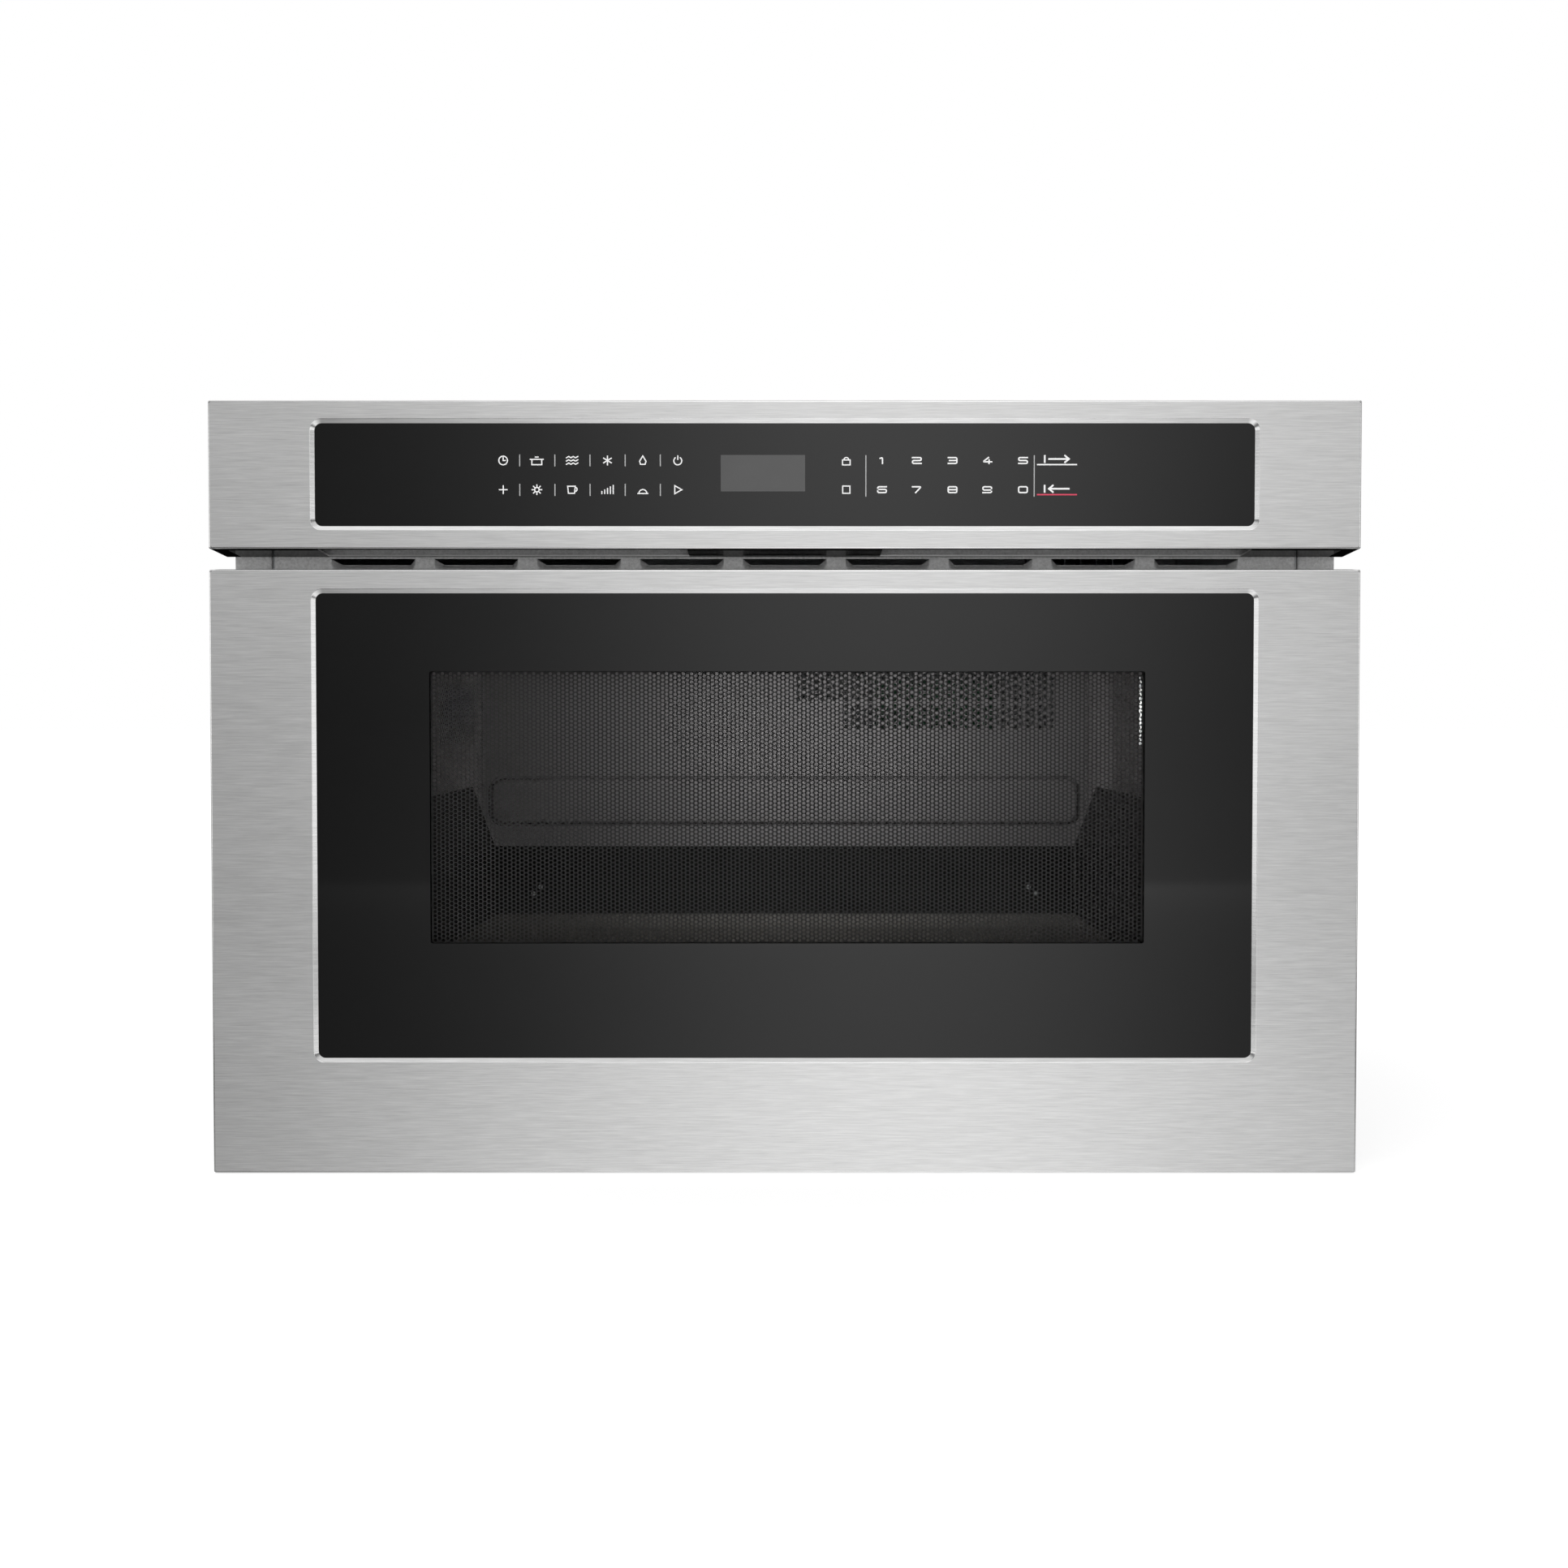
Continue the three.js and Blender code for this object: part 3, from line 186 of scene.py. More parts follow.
def blackGlass():
    material, s = newFinish("black glass", IOR=1.5)
    smudge = s.noise(s.scaled(22, 22, 30), detail=4, roughness=0.6)
    paint(s, Base_Color=s.blend(smudge, grey(0.0018), grey(0.0032)),
          Roughness=0.02 + smudge * 0.03)
    return material


def windowGlass():
    material, s = newFinish("window glass", Transmission_Weight=1.0, IOR=1.08)
    film = s.noise(s.scaled(30, 30, 30), detail=2)
    paint(s, Base_Color=s.blend(film, grey(0.70), grey(0.74)), Roughness=film * 0.01)
    return material


def clearGlass():
    material, s = newFinish("clear glass", Transmission_Weight=1.0, IOR=1.08)
    film = s.noise(s.scaled(40, 40, 40), detail=2)
    paint(s, Base_Color=s.blend(film, (0.88, 0.90, 0.90, 1), (0.92, 0.94, 0.93, 1)),
          Roughness=film * 0.01)
    return material


def greyPaint():
    material, s = newFinish("grey powder coat")
    grit = s.noise(s.scaled(1500, 1500, 1500), detail=2)
    peel = s.noise(s.scaled(640, 640, 640), detail=2, roughness=0.6)
    skin = s.clamp((peel * 0.7 + grit * 0.3 - 0.5) * 2.2 + 0.5)
    paint(s, Base_Color=s.blend(skin, grey(0.40), grey(0.64)), Roughness=0.42 + grit * 0.2,
          Normal=s.bump(skin, 0.0003, 0.8))
    return material


# painted shade: the drawer's enamel darkened to near black, for the dark inside of the drawer
def shadedDrawerEnamel():
    material, s = newFinish("drawer enamel with painted shade", Specular_IOR_Level=0.1)
    peel = s.noise(s.scaled(420, 420, 420), detail=2)
    cloud = s.noise(s.scaled(11, 11, 11), detail=2)
    paint(s, Base_Color=s.blend(cloud, (0.004, 0.0038, 0.0038, 1), (0.007, 0.0066, 0.0067, 1)),
          Roughness=0.4 + peel * 0.16, Normal=s.bump(peel, 0.00008, 0.5))
    return material


def screenPaint():
    material, s = newFinish("screen paint", Specular_IOR_Level=0.15)
    fine = s.noise(s.scaled(1600, 1600, 1600), detail=1)
    cloud = s.noise(s.scaled(14, 14, 14), detail=2)
    paint(s, Base_Color=s.blend(cloud * 0.7 + fine * 0.3, grey(0.060), grey(0.088)),
          Roughness=0.5 + fine * 0.2)
    return material


def shadowCoat():                # the control panel's underside: a dark mirror, with painted shade: dull black at its two ends and along its front edge
    material, s = newFinish("dark panel underside", Metallic=1.0, Specular_Tint=(0.2, 0.2, 0.2, 1))
    fine = s.noise(s.scaled(30, 400, 30), detail=2)
    halfWide, frontEdge = 0.2945, -0.288          # where the mirror ends and the painted black shade begins
    # painted shade: this mask turns the ends and the front strip black, where the fold and the ends
    # lie in shadow
    rim = s.clamp((s.size(s.along(0)) > halfWide) + (s.along(1) < frontEdge))
    mirror = s.blend(fine, grey(0.29), grey(0.37))
    paint(s, Base_Color=s.blend(rim, mirror, grey(0.004)),
          Roughness=0.06 + fine * 0.05 + rim * 0.5)
    shadeBlack = s.add("ShaderNodeBsdfDiffuse", None, {"Color": grey(0.004)})
    both = s.add("ShaderNodeMixShader", None, {0: rim, 1: Wire(s, s.shader.outputs[0]), 2: shadeBlack})
    s.feed(material.node_tree.nodes["Material Output"].inputs["Surface"], both)
    return material


def edgeShade():                 # painted shade: black where the fold under the control panel lies in shadow
    material, s = newFinish("painted fold shade", Specular_IOR_Level=0.05)
    fine = s.noise(s.scaled(300, 300, 300), detail=2)
    paint(s, Base_Color=s.blend(fine, grey(0.002), grey(0.005)), Roughness=0.6 + fine * 0.2)
    return material


def cavityEnamel():
    material, s = newFinish("cavity enamel")
    peel = s.noise(s.scaled(380, 380, 380), detail=2)
    speck = s.noise(s.scaled(2600, 2600, 2600), detail=1)
    cloud = s.noise(s.scaled(9, 9, 9), detail=2)
    dark, light = (0.20, 0.19, 0.193, 1), (0.275, 0.263, 0.267, 1)
    paint(s, Base_Color=s.blend(cloud * 0.6 + speck * 0.4, dark, light),
          Roughness=0.34 + peel * 0.14, Normal=s.bump(peel, 0.00008, 0.5))
    return material


def zincSheet():
    material, s = newFinish("zinc coated sheet", Metallic=0.92)
    warp = s.noise(s.scaled(60, 60, 60), detail=2)
    spangle = s.cells(s.scaled(95, 95, 95), output="Color")
    tone = s.channel(spangle, 0)
    fine = s.noise(s.scaled(700, 700, 700), detail=2)
    shade = tone * 0.45 + warp * 0.3 + fine * 0.25
    paint(s, Base_Color=s.blend(shade, (0.40, 0.415, 0.425, 1), (0.56, 0.575, 0.585, 1)),
          Roughness=0.34 + shade * 0.2, Normal=s.bump(fine, 0.00004, 0.4))
    return material


def darkSteel():
    material, s = newFinish("dark satin steel", Metallic=0.55)
    fine = s.noise(s.scaled(900, 900, 900), detail=2)
    cloud = s.noise(s.scaled(25, 25, 25), detail=2)
    paint(s, Base_Color=s.blend(cloud, grey(0.035), grey(0.055)), Roughness=0.38 + fine * 0.16,
          Normal=s.bump(fine, 0.00003, 0.4))
    return material


def blackPlastic():
    material, s = newFinish("black moulding")
    grain = s.cells(s.scaled(1300, 1300, 1300))
    cloud = s.noise(s.scaled(35, 35, 35), detail=2)
    paint(s, Base_Color=s.blend(cloud, grey(0.011), grey(0.017)), Roughness=0.42 + grain * 0.25,
          Normal=s.bump(grain, 0.00006, 0.5))
    return material


def whitePlastic():
    material, s = newFinish("natural acetal", Subsurface_Weight=0.05, Subsurface_Scale=0.002)
    flow = s.noise(s.scaled(40, 15, 120), detail=2)
    paint(s, Base_Color=s.blend(flow, (0.72, 0.70, 0.63, 1), (0.80, 0.78, 0.72, 1)),
          Roughness=0.36 + flow * 0.14)
    return material


def circuitBoard():
    material, s = newFinish("circuit board")
    tracks = s.cells(s.scaled(240, 240, 480), feature="DISTANCE_TO_EDGE")
    weave = s.noise(s.scaled(1500, 1500, 1500), detail=1)
    copper = tracks < 0.12
    paint(s, Base_Color=s.blend(copper, (0.008, 0.04, 0.018, 1), (0.018, 0.085, 0.038, 1)),
          Roughness=0.3 + weave * 0.2, Normal=s.bump(copper, 0.00004, 0.6))
    return material


def smokedDisplay():
    material, s = newFinish("smoked display", IOR=1.5)
    dots = s.noise(s.scaled(4000, 4000, 4000), detail=1)
    cloud = s.noise(s.scaled(60, 60, 60), detail=2)
    paint(s, Base_Color=s.blend(cloud * 0.5 + dots * 0.5, grey(0.058), grey(0.074)),
          Roughness=0.08 + cloud * 0.05)
    return material


def glassCeramic():
    material, s = newFinish("glass ceramic", Coat_Roughness=0.06)
    speck = s.noise(s.scaled(1500, 1500, 1500), detail=2)
    cloud = s.noise(s.scaled(12, 12, 12), detail=3)
    dark, light = (0.30, 0.285, 0.26, 1), (0.42, 0.40, 0.37, 1)
    paint(s, Base_Color=s.blend(cloud * 0.6 + speck * 0.4, dark, light),
          Roughness=0.2 + speck * 0.1, Coat_Weight=0.3 + cloud * 0.2)
    return material


def woundCore():                 # copper winding between the laminated legs
    coilX, coilZ = (-0.201, -0.139), (0.0305, 0.0690)
    material, s = newFinish("winding and laminations", Metallic=0.6)
    x, z = s.along(0), s.along(2)
    coil = (x > coilX[0]) * (x < coilX[1]) * (z > coilZ[0]) * (z < coilZ[1])
    turns, leaves = s.waves("Z", 260.0), s.waves("Y", 320.0)
    copper = s.blend(turns, (0.16, 0.045, 0.018, 1), (0.52, 0.19, 0.07, 1))
    steel = s.blend(leaves, grey(0.06), grey(0.16))
    paint(s, Base_Color=s.blend(coil, steel, copper), Roughness=0.34 + turns * 0.15,
          Normal=s.bump(coil * turns + (1 - coil) * leaves * 0.5, 0.0002, 0.6))
    return material


def bareAluminium():
    material, s = newFinish("bare aluminium", Metallic=1.0)
    roll = s.noise(s.scaled(20, 900, 20), detail=2)
    paint(s, Base_Color=s.blend(roll, (0.60, 0.61, 0.62, 1), (0.74, 0.75, 0.76, 1)),
          Roughness=0.26 + roll * 0.18, Normal=s.bump(roll, 0.00002, 0.4))
    return material


def micaSheet():
    material, s = newFinish("pressed mica")
    flakes = s.cells(s.scaled(260, 260, 260), output="Color")
    tone = s.channel(flakes, 1)
    paint(s, Base_Color=s.blend(tone, (0.50, 0.44, 0.33, 1), (0.64, 0.58, 0.45, 1)),
          Roughness=0.4 + tone * 0.25, Normal=s.bump(tone, 0.00004, 0.4))
    return material


def warmLamp():
    material, s = newFinish("warm lamp", Emission_Strength=24.0)
    glow = s.noise(s.scaled(150, 150, 150), detail=1)
    colour = s.blend(glow, (1.0, 0.95, 0.90, 1), (1.0, 0.98, 0.95, 1))
    paint(s, Base_Color=colour, Emission_Color=colour, Roughness=0.2 + glow * 0.1)
    return material


def inkFinish(name, colour):     # printed marks behind the touch glass
    material, s = newFinish(name, IOR=1.5)
    wear = s.noise(s.scaled(900, 900, 900), detail=2)
    lighter = (*[min(1, v * 1.12) for v in colour[:3]], 1)
    paint(s, Base_Color=s.blend(wear, colour, lighter), Roughness=0.15 + wear * 0.1)
    return material


looks = {
    "stainless": brushedSteel(), "black_glass": blackGlass(), "clear_glass": clearGlass(),
    "grey_paint": greyPaint(), "cavity_paint": cavityEnamel(), "galvanised": zincSheet(),
    "dark_steel": darkSteel(), "black_plastic": blackPlastic(), "white_plastic": whitePlastic(),
    "circuit_board": circuitBoard(), "display": smokedDisplay(), "glass_ceramic": glassCeramic(),
    "wound_core": woundCore(), "aluminium": bareAluminium(), "mica": micaSheet(),
    "lamp": warmLamp(), "dark_enamel": shadedDrawerEnamel(),
}
windowLook, screenLook, underLook = windowGlass(), screenPaint(), shadowCoat()
rimLook = brushedSteel("polished rim", 0.13)
paleInk = inkFinish("pale ink", srgb(228, 228, 228))
dimInk = inkFinish("dim ink", srgb(170, 170, 170))
redInk = inkFinish("red ink", srgb(205, 55, 85))
print("finishes ready")


edges = {"width": 0.00025, "steps": 2, "angle": 32, "weld": 0.00002, "flat": 0.5}
for row in frame["record"]["subparts"]:
    node = nodes[row["node"]]
    node.material_slots[0].material = looks[row["material_slot"]]
    weld = node.modifiers.new("weld", "WELD")
    weld.merge_threshold = edges["weld"]
    flat = node.modifiers.new("flat", "DECIMATE")
    flat.decimate_type, flat.angle_limit = "DISSOLVE", math.radians(edges["flat"])
    bevel = node.modifiers.new("edges", "BEVEL")
    bevel.width, bevel.segments, bevel.limit_method = edges["width"], edges["steps"], "ANGLE"
    bevel.angle_limit, bevel.harden_normals = math.radians(edges["angle"]), True
print("nodes finished")


sameSpot = 2e-6                  # m, points closer than this are one


def makePiece(name, points, faces, look, body, replaces=(), indexes=None, merge=True,
              facing=None):
    mesh = bpy.data.meshes.new(name)
    mesh.from_pydata([place(*p) for p in points], [], faces)
    for one in (look if isinstance(look, list) else [look]):
        mesh.materials.append(one)
    if indexes:
        mesh.polygons.foreach_set("material_index", indexes)
    if merge:
        form = bmesh.new()
        form.from_mesh(mesh)
        bmesh.ops.remove_doubles(form, verts=form.verts, dist=sameSpot)
        if facing:               # an open sheet, seen from one side
            form.normal_update()
            away = [f for f in form.faces if f.normal.dot(Vector(facing)) < 0]
            bmesh.ops.reverse_faces(form, faces=away)
        else:
            bmesh.ops.recalc_face_normals(form, faces=form.faces)
        form.to_mesh(mesh)
        form.free()
    return finishPiece(linked(name, mesh), body, replaces)


def finishPiece(piece, body, replaces=(), turn=28):
    piece.data.shade_smooth()
    piece.data.set_sharp_from_angle(angle=math.radians(turn))
    normals = piece.modifiers.new("normals", "WEIGHTED_NORMAL")
    normals.keep_sharp = True
    if replaces:
        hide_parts(*replaces)
    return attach(piece, body)


def meshOf(form, name):          # what was built in form, as a mesh
    mesh = bpy.data.meshes.new(name)
    form.to_mesh(mesh)
    form.free()
    return mesh


def cutWith(piece, mesh):        # takes a closed mesh out of a closed piece
    cutter = linked("cutter", mesh)
    hole = piece.modifiers.new("hole", "BOOLEAN")
    hole.operation, hole.object, hole.solver = "DIFFERENCE", cutter, "EXACT"
    bpy.context.view_layer.update()
    shape = piece.evaluated_get(bpy.context.evaluated_depsgraph_get())
    cut = bpy.data.meshes.new_from_object(shape)
    piece.modifiers.clear()
    piece.data = cut
    bpy.data.objects.remove(cutter)


def cutBox(piece, x, d, z):      # a square hole
    points = [(a, b, c) for a in x for b in d for c in z]
    faces = [(0, 1, 3, 2), (4, 6, 7, 5), (0, 4, 5, 1), (2, 3, 7, 6), (0, 2, 6, 4), (1, 5, 7, 3)]
    mesh = bpy.data.meshes.new("box")
    mesh.from_pydata([place(*p) for p in points], [], faces)
    cutWith(piece, mesh)


def roundedLoop(xs, zs, radius, steps):
    (x0, x1), (z0, z1) = xs, zs
    corners = [(x1 - radius, z0 + radius, -90), (x1 - radius, z1 - radius, 0),
               (x0 + radius, z1 - radius, 90), (x0 + radius, z0 + radius, 180)]
    loop = []
    for cx, cz, start in corners:
        loop += arc(cx, cz, radius, start, start + 90, steps)
    return loop


def arc(cx, cz, radius, start, end, steps=10):
    angles = [math.radians(start + (end - start) * i / steps) for i in range(steps + 1)]
    return [(cx + radius * math.cos(a), cz + radius * math.sin(a)) for a in angles]


def atDepth(depth, outline):
    return [(x, depth, z) for x, z in outline]


def loftFaces(rings, count, closed=False):
    faces = []
    for i in range(rings if closed else rings - 1):
        a, b = i * count, (i + 1) % rings * count
        for j in range(count):
            k = (j + 1) % count
            faces.append((a + j, a + k, b + k, b + j))
    return faces


def shifted(faces, by):          # faces whose points come after as many others
    return [tuple(corner + by for corner in face) for face in faces]


def grown(limits, by):
    return (limits[0] - by, limits[1] + by)


def chamfer(steps):              # shares across and deep of a lip, a slope with a round shoulder
    bend, shoulder, fall = math.pi / 4, 0.2, 0.13
    turn = [bend * i / steps for i in range(steps + 1)]
    return [(0, 1)] + [(1 - shoulder * math.sin(a) / math.sin(bend),
                        fall * (1 - math.cos(a)) / (1 - math.cos(bend))) for a in reversed(turn)]


def quarter(steps):              # shares across and deep, from a flat face round to its side
    turn = [i * math.pi / 2 / steps for i in range(steps + 1)]
    return [(1 - math.sin(a), 1 - math.cos(a)) for a in turn]


front = {"half": 303.2, "sheet": 0.8, "bend": 1.0, "lipWide": 2.4, "lipDeep": 1.6,
         "lipBack": 0.4, "corner": 3.8, "glassHalf": 247.4, "steps": 8}


def formedFront(name, zs, depth, glassZ, floorDrop, body, node):
    xs, glassX = grown((0, 0), front["half"]), grown((0, 0), front["glassHalf"])
    sheet, bend, corner, steps = [front[key] for key in ("sheet", "bend", "corner", "steps")]

    def glassLoop(edge, d):
        outline = roundedLoop(grown(glassX, edge), grown(glassZ, edge), corner + edge, steps)
        return atDepth(d, outline)

    def panLoop(inset, d):
        drop = floorDrop * max(0, d - bend) / depth
        height = (zs[0] + inset - drop, zs[1] - inset)
        return atDepth(d, roundedLoop(grown(xs, -inset), height, bend, steps))

    lipWide, lipDeep, lip, fold = front["lipWide"], front["lipDeep"], chamfer(5), quarter(8)
    loops = [glassLoop(lipWide * wide, lipDeep * deep) for wide, deep in lip]
    loops += [panLoop(bend * wide, bend * deep) for wide, deep in fold]
    polished = [*range(len(lip) - 1), *range(len(lip), len(loops) - 1)]
    loops += [panLoop(0, depth), panLoop(sheet, depth)]
    loops += [panLoop(sheet + (bend - sheet) * wide, sheet + (bend - sheet) * deep)
              for wide, deep in reversed(quarter(4))]
    loops += [glassLoop(lipWide + front["lipBack"], sheet), glassLoop(sheet, lipDeep)]
    points, count = [p for loop in loops for p in loop], len(loops[0])
    faces = loftFaces(len(loops), count, closed=True)
    indexes = [1 if i // count in polished else 0 for i in range(len(faces))]
    return makePiece(name, points, faces, [looks["stainless"], rimLook], body,
                     [node], indexes)


inlets = {"x": (51.5, 246.5), "depth": (3.5, 32.2), "z": (326, 334)}
panelFront = formedFront("panel_front", (330.3, 408.3), 35.7, (342.3, 396.3), 1.8,
                         "body", "control_fascia")
panelFront.modifiers.clear()
panelFront.data.materials.append(underLook)
panelFront.data.materials.append(edgeShade())
foldEnd = Vector(place(0, 3, 332.5))              # rear and top of the fold painted black as shade
# painted shade: faces looking down get the dark mirror with its black rim, and those in the fold get
# the black fold shade
for face in panelFront.data.polygons:
    if face.center.z < foldEnd.z and face.normal.z < -0.9:
        face.material_index = 2 if face.center.y > foldEnd.y else 3
for span in (inlets["x"], [-x for x in reversed(inlets["x"])]):
    cutBox(panelFront, span, inlets["depth"], inlets["z"])
finishPiece(panelFront, "body")
formedFront("drawer_front", (0, 319.6), 30, (61, 307.1), 0, "drawer", "drawer_fascia")
print("fronts formed")


glass = {"front": 1.9, "back": 5.9, "corner": 3.8, "edge": 0.6, "steps": 8, "x": (-255.4, 255.4)}
displayWindow = ((-33.7, 10.7), (360.6, 379.7))
drawerWindow = ((-187.7, 190.3), (121.9, 266.0))


def pane(name, zs, window, windowCorner, windowFinish, body, node):
    near, far, edge = glass["front"], glass["back"], glass["edge"]

    def outline(inset, d):
        xs = grown(glass["x"], -inset)
        return atDepth(d, roundedLoop(xs, grown(zs, -inset), glass["corner"], glass["steps"]))

    def windowLoop(d):
        return atDepth(d, roundedLoop(*window, windowCorner, glass["steps"]))

    loops = [windowLoop(near), outline(edge, near), outline(0, near + edge),
             outline(0, far - edge), outline(edge, far), windowLoop(far)]
    points, count = [p for loop in loops for p in loop], len(loops[0])
    faces = loftFaces(len(loops), count)
    last = (len(loops) - 1) * count
    faces += [tuple(range(count - 1, -1, -1)), tuple(range(last, last + count))]
    indexes = [0] * (len(faces) - 2) + [1, 1]
    makePiece(name, points, faces, [looks["black_glass"], windowFinish], body,
              [node], indexes)


pane("touch_glass", (334.3, 404.3), displayWindow, 0.3, looks["display"], "body", "control_glass")
pane("door_glass", (53.0, 315.1), drawerWindow, 1.2, windowLook, "drawer", "drawer_glass")
print("panes made")


def ribbon(path, width, near, far):
    closed = math.dist(path[0], path[-1]) < 1e-6
    spots = [Vector(p) for p in (path[:-1] if closed else path)]
    count = len(spots)
    points = []
    for i, spot in enumerate(spots):
        legs = []
        if closed or i > 0:
            legs.append((spot - spots[i - 1]).normalized())
        if closed or i < count - 1:
            legs.append((spots[(i + 1) % count] - spot).normalized())
        first, last = [Vector((-leg.y, leg.x)) for leg in (legs[0], legs[-1])]
        across = (first + last) / max(0.4, 1 + first.dot(last)) * width / 2
        if len(legs) == 1:       # an open end reaches half a width further
            spot = spot + legs[0] * width / 2 * (-1 if i == 0 else 1)
        for side, depth in ((1, near), (-1, near), (-1, far), (1, far)):
            points.append((spot.x + across.x * side, depth, spot.y + across.y * side))
    faces = []
    for i in range(count if closed else count - 1):
        a, b = 4 * i, 4 * ((i + 1) % count)
        faces += [(a + j, a + (j + 1) % 4, b + (j + 1) % 4, b + j) for j in range(4)]
    if not closed:
        faces += [(3, 2, 1, 0), tuple(4 * count - 4 + j for j in range(4))]
    return points, faces


def printMarks(name, strokes, look):
    points, faces = [], []
    for i, (path, width) in enumerate(strokes):   # strokes that cross lie at other depths
        more, sides = ribbon(path, width, marks["depth"] - marks["step"] * (i % 5), glass["front"])
        faces += shifted(sides, len(points))
        points += more
    makePiece(name, points, faces, look, "body")


digits = {                       # corner points on a grid 2 wide and 2 high
    "1": [[(0.55, 1.75), (1.1, 2), (1.1, 0)]],
    "2": [[(0, 2), (2, 2), (2, 1), (0, 1), (0, 0), (2, 0)]],
    "3": [[(0, 2), (2, 2), (2, 0), (0, 0)], [(0.3, 1), (2, 1)]],
    "4": [[(1.25, 2), (0, 0.55), (2, 0.55)], [(1.4, 1.2), (1.4, 0)]],
    "5": [[(2, 2), (0, 2), (0, 1), (2, 1), (2, 0), (0, 0)]],
    "6": [[(2, 2), (0, 2), (0, 0), (2, 0), (2, 1.1), (0, 1.1)]],
    "7": [[(0, 2), (2, 2), (0.75, 0)]],
    "8": [[(1, 0), (0, 0), (0, 2), (2, 2), (2, 0), (1, 0)], [(0, 1), (2, 1)]],
    "9": [[(2, 0.9), (0, 0.9), (0, 2), (2, 2), (2, 0), (0, 0)]],
    "0": [[(1, 0), (0, 0), (0, 2), (2, 2), (2, 0), (1, 0)]],
}


def softened(path, radius, steps=4):
    soft = [path[0]]
    for before, corner, after in zip(path, path[1:], path[2:]):
        ends = []
        for other in (before, after):
            length = math.dist(corner, other)
            share = min(radius, length * 0.45) / length
            ends.append([c + (o - c) * share for c, o in zip(corner, other)])
        for t in [i / steps for i in range(steps + 1)]:
            soft.append(tuple((1 - t) ** 2 * a + 2 * t * (1 - t) * c + t * t * b
                              for a, c, b in zip(ends[0], corner, ends[1])))
    return soft + [path[-1]]


def rayAt(angle):                # one of the rays round the lamp sign
    return [(r * math.cos(angle), r * math.sin(angle)) for r in (1.8, 2.5)]


signs = [                        # generic pictograms, about 5 mm high, drawn round their middles
    [arc(0, 0, 2.3, 90, 450, 16), [(0, 0), (0, 1.5)], [(0, 0), (1.1, 0)]],
    [[(-2.6, 0.6), (-2.6, -2.2), (2.6, -2.2), (2.6, 0.6)], [(-3.4, 0.6), (3.4, 0.6)],
     [(-0.7, 1.8), (0.7, 1.8)]],
    [[(-3, z), (-1.8, z + 0.7), (-0.6, z), (0.6, z + 0.7), (1.8, z), (3, z + 0.7)]
     for z in (-2, -0.3, 1.4)],
    [[(0, -2.3), (0, 2.3)], [(-2, -1.2), (2, 1.2)], [(-2, 1.2), (2, -1.2)]],
    [[(0, 2.4), (-1.7, -0.4), (-1.2, -2), (1.2, -2), (1.7, -0.4), (0, 2.4)]],
    [arc(0, -0.2, 2.1, 130, 410, 14), [(0, 0.6), (0, 2.4)]],
    [[(-2, -2.3), (-2, 0.3), (2, 0.3), (2, -2.3), (-2, -2.3)], arc(0, 0.3, 1.3, 0, 180, 8)],
    [[(0, -2), (0, 2)], [(-2, 0), (2, 0)]],
    [arc(0, 0, 1.2, 0, 360, 12)] + [rayAt(math.pi / 4 * i) for i in range(8)],
    [[(-2.4, 1.8), (-2, -1.9), (1.2, -1.9), (1.6, 1.8), (-2.4, 1.8)],
     arc(1.5, 0.2, 1.1, -80, 80, 6)],
    [[(-3 + 1.5 * i, -2), (-3 + 1.5 * i, -1 + 0.8 * i)] for i in range(5)],
    [[(-2.6, -2), (2.6, -2)], arc(0, -2, 2.1, 0, 180, 10)],
    [[(-1.6, -2.1), (2.1, 0), (-1.6, 2.1), (-1.6, -2.1)]],
    [[(-1.9, -1.9), (1.9, -1.9), (1.9, 1.9), (-1.9, 1.9), (-1.9, -1.9)]],
]
arrowStem = [[(-6.5, 1.6), (-6.5, -1.6)], [(-4.2, 0), (6.2, 0)]]
openSign = arrowStem + [[(4.2, 1.7), (6.2, 0), (4.2, -1.7)]]
closeSign = arrowStem + [[(-2.2, 1.7), (-4.2, 0), (-2.2, -1.7)]]
marks = {"line": 0.6, "digit": 0.72, "digitWide": 4.55, "digitHigh": 3.05, "round": 0.85,
         "rule": 0.5, "bar": 0.7, "arrow": 0.9, "depth": 1.86, "step": 0.004}
layout = {"rows": (376.8, 361.5), "signs": (-148.2, -130.5, -111.9, -93.3, -74.7, -56.3, 32.4),
          "digits": (51.2, 69.5, 88.3, 106.6, 125.4), "rules": (-139.5, -121.0, -102.5, -84.0, -65.5),
          "ruleZ": ((374, 379.7), (358.5, 364.3)), "longRules": (42.7, 131.3),
          "longZ": (358.1, 379.3), "arrow": 143.3, "openZ": 377.6, "closeZ": 362,
          "bar": (133.1, 153.5), "paleZ": 374.65, "redZ": 358.9}


def barAt(z):                    # a stroke of its own height, as long as the drawer's two signs
    return [(x, z) for x in layout["bar"]], marks["bar"]


def moved(path, x, z):
    return [(x + a, z + b) for a, b in path]


pale, dim = [], []
for i, (z, x) in enumerate([(z, x) for z in layout["rows"] for x in layout["signs"]]):
    pale += [(moved(path, x, z), marks["line"]) for path in signs[i]]
for i, label in enumerate("1234567890"):
    x, z = layout["digits"][i % 5], layout["rows"][i // 5]
    wide, high = marks["digitWide"] / 2, marks["digitHigh"] / 2
    for path in digits[label]:
        drawn = [(x + (a - 1) * wide, z + (b - 1) * high) for a, b in path]
        pale.append((softened(drawn, marks["round"]), marks["digit"]))
for x in layout["rules"]:
    dim += [([(x, a), (x, b)], marks["rule"]) for a, b in layout["ruleZ"]]
dim += [([(x, z) for z in layout["longZ"]], marks["rule"]) for x in layout["longRules"]]
for sign, z in ((openSign, layout["openZ"]), (closeSign, layout["closeZ"])):
    pale += [(moved(path, layout["arrow"], z), marks["arrow"]) for path in sign]
